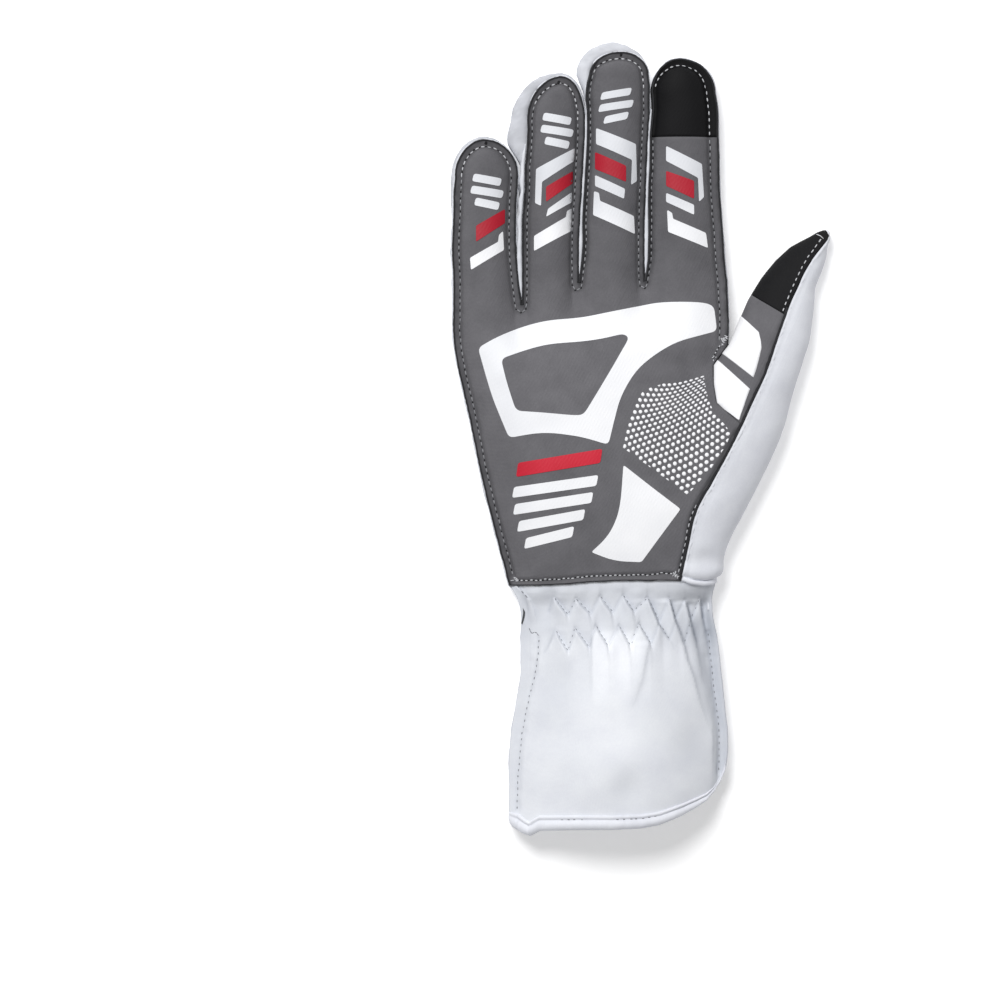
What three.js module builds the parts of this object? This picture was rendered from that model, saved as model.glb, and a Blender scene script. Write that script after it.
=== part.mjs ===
import * as THREE from "three";

// A right-hand racing glove that lies palm up on its back, in millimetres.
// X runs to the thumb, Y to the fingertips and Z up; the underside is flat at Z = 0.

const WALL = 1.6; // thickness of the cloth
const GAP = 0.3; // clearance between neighbouring pieces
const SEAM_Z = 10.6; // height of the raised seam around the palm side
const WALL_TOP_Z = 9.0; // where the side walls end, just under that seam
const WALL_MID_Z = 4.5; // height at which a side wall stands out the furthest
const SLIT_Z = 3.5; // height of the back's edge in the gaps between the fingers
const FINGER_CROWN = 4.4; // rise of a finger's front above its seam
const EDGE_RADIUS = 4; // plan width of the rounding between a side wall and the flat underside
const WRIST_Y = -54.9; // seam between hand and cuff
const CROTCH = { x: 35.1, y: 35.5, z: 6.5 }; // where index finger and thumb part
const TOUCH_CUT_Y = 114.6; // lower edge of the index finger's black tip
const THUMB_CUT = { ridge: 46.6, side: 54.2 }; // Y of the ends of the thumb's black tip's lower edge
const BINDING = { width: 3.8, thickness: 2.6 };
const CROWN_POWER = { finger: 2.5, cuff: 2.6 }; // how full the fronts are; more is flatter and fuller
const TIP_POWER = 0.7; // how the underside rises round a fingertip

// Runs over which one shape passes into the next, in plan.
const EDGE_RUN = { length: 24, power: 2.2 }; // from the palm's middle height down to its edges
const WEB_RUN = 28; // how far the finger fronts' crowns run down into the palm
const RIDGE_RUN = { web: 12, crotch: 24 }; // how far the back's ridges run down from the webs and crotch
const WRIST_RUN = 10; // how far the hand's section runs down into the cuff
const THUMB_FOLD_END_Y = 6; // below this the palm's right edge is the ridge of the thumb seam

// The back of the hand: how far its sides stand out beyond their seams, the width of the strip
// that it sends under the thumb, and the slope from its right ridge down to that strip.
const BACK = { leftBulge: 0.6, rightBulge: 0.1, thumbStrip: 8, stripRows: 12 };
const RIDGE_SLOPE = [
  { reach: 0.6, height: 0.5 },
  { reach: 2.4, height: 0.15 },
  { reach: 5, height: 0 },
];
const RIDGE_WIDTH = 12; // width of strip at which that slope has its own reach

// The thumb's section: height of the side contour of its back, where the underside begins, and
// the thickness of its cloth where the thumb is thinner than two walls.
const THUMB_BACK_SIDE = 0.45;
const THUMB_FOOT = 0.35;
const THIN_WALL = { least: 0.2, share: 0.35 };

const COLOURS = {
  palm: { color: 0x67676b, roughness: 0.78 },
  touch: { color: 0x1d1d1f, roughness: 0.6 },
  white: { color: 0xe9ebf1, roughness: 0.72 },
};

// Each finger: the tip of its front, the tip of its back, and rows from the shoulder of the
// tip down to the web. left and right bound the front; outLeft and outRight the white sides.
const FINGERS = [
  {
    name: "little",
    tip: { x: -59.1, y: 113.8 },
    backTip: { x: -59.5, y: 115.0 },
    rows: [
      { y: 99.8, left: -70.5, right: -46.5, outLeft: -72.0, outRight: -46.3 },
      { y: 94.4, left: -70.9, right: -46.9, outLeft: -72.0, outRight: -46.7 },
      { y: 83.8, left: -71.2, right: -47.3, outLeft: -71.8, outRight: -47.1 },
      { y: 73.2, left: -71.6, right: -47.3, outLeft: -72.2, outRight: -47.1 },
      { y: 62.5, left: -71.2, right: -46.5, outLeft: -72.0, outRight: -46.3 },
      { y: 50.7, left: -71.2, right: -45.0, outLeft: -71.8, outRight: -45.2 },
    ],
  },
  {
    name: "ring",
    tip: { x: -29.8, y: 137.8 },
    backTip: { x: -29.8, y: 139.3 },
    rows: [
      { y: 121.0, left: -43.0, right: -21.1, outLeft: -49.2, outRight: -20.8 },
      { y: 115.7, left: -42.9, right: -21.1, outLeft: -50.4, outRight: -20.8 },
      { y: 112.5, left: -43.1, right: -21.3, outLeft: -50.6, outRight: -21.0 },
      { y: 108.6, left: -43.3, right: -21.5, outLeft: -48.3, outRight: -21.2 },
      { y: 104.7, left: -43.7, right: -21.8, outLeft: -46.2, outRight: -21.5 },
      { y: 94.4, left: -44.0, right: -22.3, outLeft: -45.9, outRight: -22.0 },
      { y: 83.8, left: -44.8, right: -23.0, outLeft: -46.3, outRight: -22.7 },
      { y: 73.2, left: -44.9, right: -23.4, outLeft: -46.3, outRight: -23.1 },
      { y: 62.5, left: -44.9, right: -23.4, outLeft: -45.6, outRight: -23.1 },
      { y: 50.7, left: -45.0, right: -23.4, outLeft: -44.8, outRight: -23.5 },
    ],
  },
  {
    name: "middle",
    tip: { x: -7.4, y: 147.2 },
    backTip: { x: -10.8, y: 151.1 },
    rows: [
      { y: 138.5, left: -19.2, right: 3.0, outLeft: -24.1, outRight: 3.1 },
      { y: 134.3, left: -20.3, right: 3.4, outLeft: -22.3, outRight: 3.5 },
      { y: 130.0, left: -20.6, right: 3.4, outLeft: -21.0, outRight: 3.5 },
      { y: 126.4, left: -20.3, right: 3.5, outLeft: -20.4, outRight: 3.6 },
      { y: 115.7, left: -20.2, right: 2.9, outLeft: -20.3, outRight: 3.0 },
      { y: 94.4, left: -21.3, right: 2.0, outLeft: -21.3, outRight: 2.2 },
      { y: 83.8, left: -21.9, right: 1.6, outLeft: -22.0, outRight: 1.9 },
      { y: 73.2, left: -21.9, right: 1.5, outLeft: -22.4, outRight: 1.8 },
      { y: 59.1, left: -23.4, right: 1.7, outLeft: -23.2, outRight: 1.5 },
    ],
  },
  {
    name: "index",
    tip: { x: 15.0, y: 144.6 },
    backTip: { x: 15.0, y: 145.0 },
    rows: [
      { y: 131.7, left: 4.3, right: 28.5, outLeft: 4.2, outRight: 28.6 },
      { y: 126.4, left: 4.6, right: 29.3, outLeft: 4.5, outRight: 29.4 },
      { y: 115.7, left: 3.8, right: 29.7, outLeft: 3.6, outRight: 29.8 },
      { y: 105.1, left: 3.7, right: 30.0, outLeft: 3.4, outRight: 30.1 },
      { y: 94.4, left: 3.2, right: 30.2, outLeft: 2.7, outRight: 30.3 },
      { y: 78.5, left: 3.2, right: 31.4, outLeft: 2.5, outRight: 31.5 },
      { y: 67.8, left: 2.9, right: 32.1, outLeft: 2.3, outRight: 32.2 },
      { y: 59.9, left: 1.7, right: 32.9, outLeft: 1.9, outRight: 33.0 },
    ],
  },
];

// Lower ends of the gaps between the fingers, and the outer ends of the same line.
const WEBS = [
  { x: -71.2, y: 50.7 },
  { x: -45.0, y: 50.7 },
  { x: -23.4, y: 59.1 },
  { x: 1.7, y: 59.9 },
  { x: 32.9, y: 59.9 },
];

// The palm's two edges below the webs. right follows the index finger to the crotch, the
// thumb's fold, and then the ridge of the thumb seam; top and edge are the heights of the
// palm's middle and of its right edge.
const PALM_LEFT = [
  { y: 50.7, x: -71.2 },
  { y: 35.9, x: -70.9 },
  { y: 25.3, x: -69.0 },
  { y: 7.0, x: -64.8 },
  { y: -8.2, x: -61.8 },
  { y: -27.9, x: -57.2 },
  { y: -42.4, x: -53.4 },
  { y: -54.9, x: -49.9 },
];
const PALM_RIGHT = [
  { y: 59.9, x: 32.9, top: 15.0, edge: 10.6 },
  { y: 51.9, x: 33.3, top: 16.3, edge: 10.6 },
  { y: 41.2, x: 34.0, top: 17.8, edge: 10.6 },
  { y: 35.5, x: 35.1, top: 18.5, edge: 10.6 },
  { y: 27.9, x: 27.6, top: 19.2, edge: 13.5 },
  { y: 20.7, x: 27.7, top: 19.8, edge: 15.5 },
  { y: 13.5, x: 28.7, top: 20.2, edge: 17.5 },
  { y: 5.1, x: 38.4, top: 20.5, edge: 20.3 },
  { y: -3.2, x: 34.2, top: 20.9, edge: 20.7 },
  { y: -14.6, x: 28.1, top: 21.0, edge: 21.0 },
  { y: -27.9, x: 20.9, top: 21.0, edge: 20.8 },
  { y: -40.9, x: 17.9, top: 20.3, edge: 20.0 },
  { y: -54.9, x: 15.0, top: 19.0, edge: 19.0 },
];

// Sections through the thumb from its tip to the wrist: the left contour and its height
// (side), the seam ridge and its height (top), the right contour, the line of the bottom
// seam (under) and the height of the underside (floor).
const THUMB = [
  { y: 79.5, left: 69.8, ridge: 70.8, right: 71.6, under: 70.8, side: 4.3, top: 5.6, floor: 3.2 },
  { y: 78.7, left: 67.7, ridge: 70.8, right: 72.2, under: 70.2, side: 4.5, top: 6.8, floor: 2.6 },
  { y: 77.1, left: 64.8, ridge: 70.8, right: 72.4, under: 69.3, side: 4.7, top: 7.8, floor: 2.0 },
  { y: 75.4, left: 61.2, ridge: 70.1, right: 72.2, under: 68.0, side: 4.8, top: 8.7, floor: 1.5 },
  { y: 73.2, left: 57.4, ridge: 68.8, right: 71.6, under: 66.2, side: 5.0, top: 9.7, floor: 1.0 },
  { y: 68.2, left: 51.7, ridge: 65.2, right: 70.5, under: 62.8, side: 5.5, top: 11.5, floor: 0.3 },
  { y: 64.0, left: 48.5, ridge: 62.8, right: 69.2, under: 60.8, side: 6.0, top: 12.8, floor: 0.0 },
  { y: 58.0, left: 44.4, ridge: 60.0, right: 66.9, under: 57.6, side: 6.6, top: 14.2, floor: 0.0 },
  { y: 52.6, left: 40.9, ridge: 57.5, right: 66.3, under: 55.3, side: 7.2, top: 15.3, floor: 0.0 },
  { y: 44.6, left: 37.8, ridge: 54.5, right: 65.2, under: 52.4, side: 8.5, top: 16.6, floor: 0.0 },
  { y: 35.5, left: 35.5, ridge: 51.3, right: 64.0, under: 48.8, side: 10.6, top: 17.8, floor: 0.0 },
  { y: 27.9, left: 27.9, ridge: 48.8, right: 61.4, under: 47.2, side: 13.5, top: 18.6, floor: 0.0 },
  { y: 20.7, left: 28.0, ridge: 45.8, right: 58.9, under: 45.8, side: 15.5, top: 19.3, floor: 0.0 },
  { y: 13.5, left: 29.0, ridge: 42.4, right: 57.0, under: 44.3, side: 17.5, top: 19.9, floor: 0.0 },
  { y: 5.1, left: 38.3, ridge: 38.6, right: 55.1, under: 41.6, side: 20.3, top: 20.4, floor: 0.0 },
  { y: -3.2, left: 34.4, ridge: 34.4, right: 51.9, under: 39.2, side: 20.7, top: 20.7, floor: 0.0 },
  { y: -14.6, left: 28.3, ridge: 28.3, right: 46.7, under: 35.6, side: 21.0, top: 21.0, floor: 0.0 },
  { y: -27.9, left: 21.1, ridge: 21.1, right: 40.1, under: 31.2, side: 20.8, top: 20.8, floor: 0.0 },
  { y: -40.9, left: 18.1, ridge: 18.1, right: 33.4, under: 26.6, side: 20.0, top: 20.0, floor: 0.0 },
  { y: -49.2, left: 16.3, ridge: 16.3, right: 31.2, under: 23.8, side: 19.4, top: 19.4, floor: 0.0 },
  { y: -54.9, left: 15.2, ridge: 15.2, right: 29.1, under: 22.0, side: 19.0, top: 19.0, floor: 0.0 },
];

// The cuff's side seams and the height of its front.
const CUFF = [
  { y: -54.9, left: -49.6, right: 28.7, top: 18.6 },
  { y: -59.9, left: -47.5, right: 27.6, top: 18.8 },
  { y: -65.2, left: -46.0, right: 27.2, top: 19.0 },
  { y: -75.8, left: -45.6, right: 29.1, top: 20.4 },
  { y: -91.8, left: -45.8, right: 31.0, top: 23.4 },
  { y: -102.4, left: -47.7, right: 32.1, top: 25.0 },
  { y: -113.0, left: -49.2, right: 33.2, top: 26.2 },
  { y: -123.7, left: -50.2, right: 33.2, top: 27.0 },
  { y: -131.7, left: -50.8, right: 32.4, top: 27.2 },
  { y: -150.0, left: -50.8, right: 31.0, top: 27.2 },
];

// Lower edge of the binding along the cuff's front.
const HEM_FRONT = [
  { x: -50.8, y: -141.9 },
  { x: -47.8, y: -147.0 },
  { x: -42.8, y: -150.2 },
  { x: -37.0, y: -148.6 },
  { x: -15.4, y: -148.0 },
  { x: 4.4, y: -147.2 },
  { x: 13.1, y: -145.0 },
  { x: 23.4, y: -139.7 },
  { x: 28.4, y: -134.3 },
  { x: 33.2, y: -126.0 },
];
const HEM_BACK_BOW = 3; // how far the back's hem bows out beyond a straight line
const HEM_END_DROP = 1; // how far below the seam the binding turns from the front to a side
const HEM_SLOPE_STEP = 0.02; // step along the front, as a share of its width, that gives its slope
const SECTION_BULGE = 1.08; // makes the binding's few-sided section as large as the oval
// Points of the binding down a side wall, with the way that faces out there.
const HEM_SIDE = [
  { z: 5.0, across: 1, up: 0 },
  { z: 1.4, across: 0.75, up: -0.66 },
];

// Crests of the folds along the wrist's upper and lower gathering rows, the folds' height, and
// the lengths over which they rise below the wrist seam, from either side, and fade out.
const FOLDS = {
  upper: { y: -60.2, crests: [-41.5, -32.9, -24.1, -15.8, -6.7, 2.1, 10.6, 17.3, 22.2, 26.5] },
  lower: { y: -72.2, crests: [-39.5, -31.5, -24.9, -16.9, -8.0, -0.3, 6.7, 13.1, 18.4, 23.0] },
  height: 1.3,
  rise: 5,
  fromLeft: 4,
  fromRight: 3,
  fade: 20,
};

// How the surfaces are divided.
const TIP_ANGLES = [20, 40, 58, 74, 90]; // degrees round the tip, 90 at its end
const SLIT_END_ANGLE = 58; // where a strip between two fingers ends
const SLIT_CLOSED_ANGLE = 74; // and where the back closes the gap beyond it
const LEAST_ROW = 1; // no row of a finger's front lies closer than this to a cut
const PALM_COLUMNS = [-1, -0.8, -0.45, 0, 0.45, 0.8, 1];
const OUTER_LEVELS = [1, 0.75, 0.5, 0.22, 0.05, 0]; // heights down a full side wall
const INNER_LEVELS = [1, 0.35, 0]; // heights down the low wall beside a gap
const TIP_LEVELS = [1, 1, 0.35, 0.35, 0, 0]; // a full side wall where it meets a low one at the tip
const FLAT_STEPS = 3;
const BODY_ROWS = [
  { y: 44, follow: 0.5 },
  { y: 41.2, follow: 0 },
  { y: 35.5, follow: 0 },
  { y: 27.9, follow: 0 },
  { y: 20.7, follow: 0 },
  { y: 13.5, follow: 0 },
  { y: 5.1, follow: 0 },
  { y: -3.2, follow: 0 },
  { y: -14.6, follow: 0 },
  { y: -27.9, follow: 0 },
  { y: -40.9, follow: 0 },
  { y: -54.9, follow: 0 },
];
const CROTCH_ROW = 2; // place of the crotch in BODY_ROWS
const THUMB_ARC = [0, 0.3, 0.58, 0.82, 1]; // from the seam ridge to the side contour
const THUMB_COLUMNS = [...THUMB_ARC, 1.45, 2, 3]; // and on round the underside to the bottom seam
const THUMB_FRONT_STEPS = [0, 0.5, 1]; // from the black tip down to the crotch
const THUMB_FOLD_ROWS = [27.9, 20.7, 13.5, 9.2, 6.2]; // and Y of the rows below it
const THUMB_FLAT_STEPS = 2;
const FOURCHETTE_LEVELS = [1, 0.62, 0.3, 0];
const BINDING_STEPS = { flat: 8, section: 6 };
const CUFF_COLUMNS = 38;
const CUFF_ROWS = [0, 0.04, 0.08, 0.125, 0.17, 0.22, 0.28, 0.36, 0.5, 0.66, 0.83, 1];
const CUFF_BACK_ROWS = [0.08, 0.17, 0.3, 0.5, 0.75, 1];
const CUFF_BACK_MARGIN = 2; // keeps the last of the underside's columns off the right wall

const mix = (a, b, t) => a + (b - a) * t;
const clamp01 = (t) => Math.min(1, Math.max(0, t));
const ease = (t) => clamp01(t) ** 2 * (3 - 2 * clamp01(t));
const radians = (degrees) => (degrees * Math.PI) / 180;

// The value of one column of a table, read straight between its rows.
function read(table, key, value, column) {
  const rising = table[0][key] < table[table.length - 1][key];
  const rows = rising ? table : [...table].reverse();
  const last = rows.length - 1;
  if (value <= rows[0][key]) return rows[0][column];
  if (value >= rows[last][key]) return rows[last][column];
  const i = rows.findIndex((row, n) => n < last && value <= rows[n + 1][key]);
  const share = (value - rows[i][key]) / (rows[i + 1][key] - rows[i][key]);
  return mix(rows[i][column], rows[i + 1][column], share);
}

// A closed sheet of cloth. Each patch is a grid of rows of points on the outer face; patches
// that share points are joined. The inner face lies one thickness inside. A point's edge says
// how the narrow face there runs: across the glove, level like a wall's top, or upright.
function cloth(patches, faceDown = false) {
  const points = [];
  const places = new Map();
  const triangles = [];
  const indexOf = (p) => {
    const key = [p.x, p.y, p.z].map((v) => Math.round(v * 1000)).join(",");
    if (!places.has(key)) {
      places.set(key, points.length);
      const at = new THREE.Vector3(p.x, p.y, p.z);
      points.push({ at, wall: p.wall ?? WALL, edge: p.edge, normal: new THREE.Vector3() });
    }
    return places.get(key);
  };
  const addTriangle = (a, b, c) => {
    if (a === b || b === c || c === a) return;
    triangles.push(faceDown ? [a, c, b] : [a, b, c]);
  };
  for (const rows of patches) {
    for (let r = 0; r + 1 < rows.length; r++) {
      for (let c = 0; c + 1 < rows[r].length; c++) {
        const corners = [rows[r][c], rows[r][c + 1], rows[r + 1][c + 1], rows[r + 1][c]].map(indexOf);
        addTriangle(corners[0], corners[1], corners[2]);
        addTriangle(corners[0], corners[2], corners[3]);
      }
    }
  }
  const edges = new Map();
  for (const [a, b, c] of triangles) {
    const side = new THREE.Vector3().subVectors(points[b].at, points[a].at);
    const normal = side.cross(new THREE.Vector3().subVectors(points[c].at, points[a].at));
    [a, b, c].forEach((i) => points[i].normal.add(normal));
    [[a, b], [b, c], [c, a]].forEach(([from, to]) => edges.set(from + ">" + to, [from, to]));
  }
  const count = points.length;
  for (const { edge, normal } of points) {
    if (edge === "across") normal.setY(0);
    if (edge === "level") normal.setZ(0);
    if (edge === "upright") normal.set(0, 0, 1);
  }
  const inner = points.map((p) => p.at.clone().addScaledVector(p.normal.normalize(), -p.wall));
  const faces = [...triangles];
  triangles.forEach(([a, b, c]) => faces.push([a + count, c + count, b + count]));
  for (const [from, to] of edges.values()) {
    if (edges.has(to + ">" + from)) continue;
    faces.push([to, from, from + count], [to, from + count, to + count]);
  }
  const geometry = new THREE.BufferGeometry();
  const all = [...points.map((p) => p.at), ...inner];
  geometry.setFromPoints(all);
  geometry.setIndex(faces.flat());
  geometry.computeVertexNormals();
  return geometry;
}

// Stations of a finger from its web to its tip: both edges of the front, both outer contours,
// how wide the tip still is (wide) and how high the back's edges stand beside the gaps.
function fingerStations(finger, number) {
  const shoulder = finger.rows[0];
  const stations = [...finger.rows].reverse().map((row, i) => {
    const side = (web, edge, out) => {
      if (i === 0) return { edge: web, out: web };
      return { edge: { x: row[edge], y: row.y }, out: { x: row[out], y: row.y } };
    };
    return {
      left: side(WEBS[number], "left", "outLeft"),
      right: side(WEBS[number + 1], "right", "outRight"),
      wide: 1,
      slit: SLIT_Z,
      angle: 0,
      atWeb: i === 0,
    };
  });
  for (const angle of TIP_ANGLES) {
    const wide = angle === 90 ? 0 : Math.cos(radians(angle));
    const along = Math.sin(radians(angle));
    const side = (edge, out) => ({
      edge: { x: mix(finger.tip.x, shoulder[edge], wide), y: mix(shoulder.y, finger.tip.y, along) },
      out: { x: mix(finger.backTip.x, shoulder[out], wide), y: mix(shoulder.y, finger.backTip.y, along) },
    });
    stations.push({
      left: side("left", "outLeft"),
      right: side("right", "outRight"),
      wide,
      slit: mix(SLIT_Z, WALL_TOP_Z, ease(angle / SLIT_CLOSED_ANGLE)),
      angle,
    });
  }
  return stations;
}

const floorOf = (wide) => WALL_MID_Z * (1 - wide ** TIP_POWER);

// A point of a side wall at height z. inward is +1 on a finger's left side and -1 on its right.
function wallPoint(side, inward, z, wide) {
  const floor = floorOf(wide);
  if (z >= WALL_MID_Z) {
    const climb = (z - WALL_MID_Z) / (WALL_TOP_Z - WALL_MID_Z);
    const lean = 1 - Math.sqrt(Math.max(0, 1 - climb ** 2));
    const tuck = GAP * inward * wide;
    return { x: mix(side.out.x, side.edge.x + tuck, lean), y: mix(side.out.y, side.edge.y, lean), z };
  }
  const drop = (WALL_MID_Z - z) / (WALL_MID_Z - floor);
  const round = 1 - Math.sqrt(Math.max(0, 1 - drop ** 2));
  return { x: side.out.x + inward * EDGE_RADIUS * wide * round, y: side.out.y, z };
}

// The points down a side wall from its top to the flat underside.
function wallColumn(side, inward, wide, top, levels) {
  const floor = floorOf(wide);
  const wall = levels.map((level) => wallPoint(side, inward, mix(floor, top, level), wide));
  wall[0].edge = "level";
  return wall;
}

// One row across a finger's back: left wall, flat underside, right wall.
function backRow(station, isFirst, isLast) {
  const { left, right, wide, slit } = station;
  const wall = (side, inward, isOuter) => {
    const levels = wide === 0 ? TIP_LEVELS : OUTER_LEVELS;
    if (isOuter) return wallColumn(side, inward, wide, WALL_TOP_Z, levels);
    return wallColumn(side, inward, wide, slit, INNER_LEVELS);
  };
  const down = wall(left, 1, isFirst);
  const up = wall(right, -1, isLast).reverse();
  if (station.atWeb && !isFirst) down[0].edge = undefined;
  if (station.atWeb && !isLast) up[up.length - 1].edge = undefined;
  const from = down[down.length - 1];
  const to = up[0];
  const flat = [];
  for (let i = 1; i < FLAT_STEPS; i++) {
    const t = i / FLAT_STEPS;
    flat.push({ x: mix(from.x, to.x, t), y: mix(from.y, to.y, t), z: mix(from.z, to.z, t) });
  }
  return [...down, ...flat, ...up];
}

// One row across a finger's front.
function frontRow(station) {
  return PALM_COLUMNS.map((c) => {
    const t = (c + 1) / 2;
    const crown = FINGER_CROWN * station.wide * (1 - Math.abs(c) ** CROWN_POWER.finger);
    const x = mix(station.left.edge.x, station.right.edge.x, t);
    const y = mix(station.left.edge.y, station.right.edge.y, t);
    return { x, y, z: SEAM_Z + crown };
  });
}

const STATIONS = FINGERS.map(fingerStations);

// Joins the rows of neighbouring blocks into one, without repeating the shared points.
const joinRows = (blocks) => blocks.reduce((row, block) => [...row, ...block.slice(1)]);

// Height of the palm between its edges.
function palmHeight(x, y, left, right) {
  const top = read(PALM_RIGHT, "y", y, "top");
  const edge = read(PALM_RIGHT, "y", y, "edge");
  const fall = (distance) => (1 - clamp01(distance / EDGE_RUN.length)) ** EDGE_RUN.power;
  return top - (top - SEAM_Z) * fall(x - left) - (top - edge) * fall(right - x);
}

const palmLeft = (y) => read(PALM_LEFT, "y", y, "x");
const palmRight = (y) => read(PALM_RIGHT, "y", y, "x");

// The palm below the webs, row by row from the web line.
function palmBody() {
  const start = joinRows(STATIONS.map((stations) => frontRow(stations[0])));
  const shares = start.map((p) => (p.x - palmLeft(p.y)) / (palmRight(p.y) - palmLeft(p.y)));
  const rows = [start];
  BODY_ROWS.forEach((level, number) => {
    rows.push(
      start.map((p, column) => {
        const y = mix(level.y, p.y, level.follow);
        const even = column / (start.length - 1);
        const share = mix(shares[column], even, ease((number + 1) / BODY_ROWS.length));
        const left = palmLeft(y);
        const right = palmRight(y);
        const x = mix(left, right, share);
        const web = 1 - ease((p.y - y) / WEB_RUN);
        const onRidge = column === start.length - 1 && y < THUMB_FOLD_END_Y;
        const edge = onRidge ? "upright" : y <= WRIST_Y && "across";
        return { x, y, z: mix(palmHeight(x, y, left, right), p.z, web), edge };
      }),
    );
  });
  return rows.reverse();
}

// Rows of a finger's front between two Y values, with a straight cut where it stops short.
function frontBlock(stations, low, high) {
  const rows = stations.map(frontRow);
  const yOf = (row) => row[0].y;
  const cutAt = (y) => {
    const i = rows.findIndex((row, n) => n + 1 < rows.length && yOf(rows[n + 1]) > y);
    const t = (y - yOf(rows[i])) / (yOf(rows[i + 1]) - yOf(rows[i]));
    return rows[i].map((p, c) => {
      const q = rows[i + 1][c];
      return { x: mix(p.x, q.x, t), y: mix(p.y, q.y, t), z: mix(p.z, q.z, t), edge: "across" };
    });
  };
  const kept = rows.filter((row) => yOf(row) > low + LEAST_ROW && yOf(row) < high - LEAST_ROW);
  if (low > yOf(rows[0])) kept.unshift(cutAt(low));
  else kept.unshift(rows[0]);
  if (high < yOf(rows[rows.length - 1])) kept.push(cutAt(high));
  else kept.push(rows[rows.length - 1]);
  return kept;
}

function palmPanel() {
  const patches = [palmBody()];
  STATIONS.forEach((stations, number) => {
    const isIndex = number === FINGERS.length - 1;
    patches.push(isIndex ? frontBlock(stations, 0, TOUCH_CUT_Y - GAP / 2) : stations.map(frontRow));
  });
  return cloth(patches);
}

function indexTouchTip() {
  const stations = STATIONS[FINGERS.length - 1];
  return cloth([frontBlock(stations, TOUCH_CUT_Y + GAP / 2, Infinity)]);
}

// X of the ridge at the right end of the hand's back: the index finger's side down to the
// crotch, and below it the inner edge of the strip that runs under the thumb.
function backRight(number, y) {
  if (number <= CROTCH_ROW) return palmRight(y);
  const strip = read(THUMB, "y", y, "under") - BACK.thumbStrip;
  return mix(CROTCH.x, strip, ease(number / BACK.stripRows));
}

// From the top of that ridge down its slope and along the strip to the thumb's bottom seam.
function thumbStrip(crest, y, belowCrotch) {
  const under = read(THUMB, "y", y, "under") - GAP / 2;
  const spread = belowCrotch ? mix(1, (under - crest.x) / RIDGE_WIDTH, 0.5) : 1;
  const strip = RIDGE_SLOPE.map(({ reach, height }) => ({
    x: crest.x + reach * spread,
    y,
    z: crest.z * height,
  }));
  const foot = strip[strip.length - 1];
  for (let i = 1; i <= THUMB_FLAT_STEPS; i++) {
    strip.push({ x: mix(foot.x, under, i / THUMB_FLAT_STEPS), y, z: 0 });
  }
  return strip;
}

// The back of the hand: the ridges under the webs fade out, and right of the crotch the
// panel runs on under the thumb to the thumb's bottom seam.
function backBody() {
  const last = FINGERS.length - 1;
  const start = joinRows(
    STATIONS.map((stations, number) => backRow(stations[0], number === 0, number === last)),
  );
  const wallCount = OUTER_LEVELS.length;
  const crotchColumn = start.length - 1;
  const startLeft = start[wallCount - 1].x;
  const startRight = start[crotchColumn].x;
  const upper = [start];
  const lower = [];
  BODY_ROWS.forEach((level, number) => {
    const belowCrotch = number > CROTCH_ROW;
    const rowY = (p) => mix(level.y, p.y, level.follow);
    const leftY = rowY(start[0]);
    const leftX = palmLeft(leftY);
    const leftSide = { edge: { x: leftX, y: leftY }, out: { x: leftX - BACK.leftBulge, y: leftY } };
    const leftWall = wallColumn(leftSide, 1, 1, WALL_TOP_Z, OUTER_LEVELS);
    const from = leftWall[wallCount - 1].x;
    const rightY = rowY(start[crotchColumn]);
    const to = backRight(number, rightY);
    const row = start.map((p, column) => {
      if (column < wallCount) return leftWall[column];
      const y = rowY(p);
      const share = (p.x - startLeft) / (startRight - startLeft);
      const fade = 1 - ease((p.y - y) / RIDGE_RUN.web);
      return { x: mix(from, to, share), y, z: p.z * fade };
    });
    const top = number < CROTCH_ROW ? WALL_TOP_Z : CROTCH.z;
    const fade = belowCrotch ? 1 - ease((CROTCH.y - rightY) / RIDGE_RUN.crotch) : 1;
    const out = belowCrotch ? to : to + BACK.rightBulge;
    const rightSide = { edge: { x: to, y: rightY }, out: { x: out, y: rightY } };
    const rightWall = wallColumn(rightSide, -1, 1, top * fade, OUTER_LEVELS).reverse();
    row.splice(crotchColumn - wallCount + 1, wallCount, ...rightWall);
    if (number <= CROTCH_ROW) upper.push(row);
    if (number >= CROTCH_ROW) lower.push([...row, ...thumbStrip(row[crotchColumn], rightY, belowCrotch)]);
  });
  return { upper, lower };
}

const cuffLeft = (y) => read(CUFF, "y", y, "left");
const cuffRight = (y) => read(CUFF, "y", y, "right");
const HEM_ENDS = [HEM_FRONT[0], HEM_FRONT[HEM_FRONT.length - 1]];

// Y of the back's hem at a share of the way from the left to the right side seam.
const hemBack = (share) =>
  mix(HEM_ENDS[0].y, HEM_ENDS[1].y, share) - HEM_BACK_BOW * Math.sin(Math.PI * share);

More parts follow.
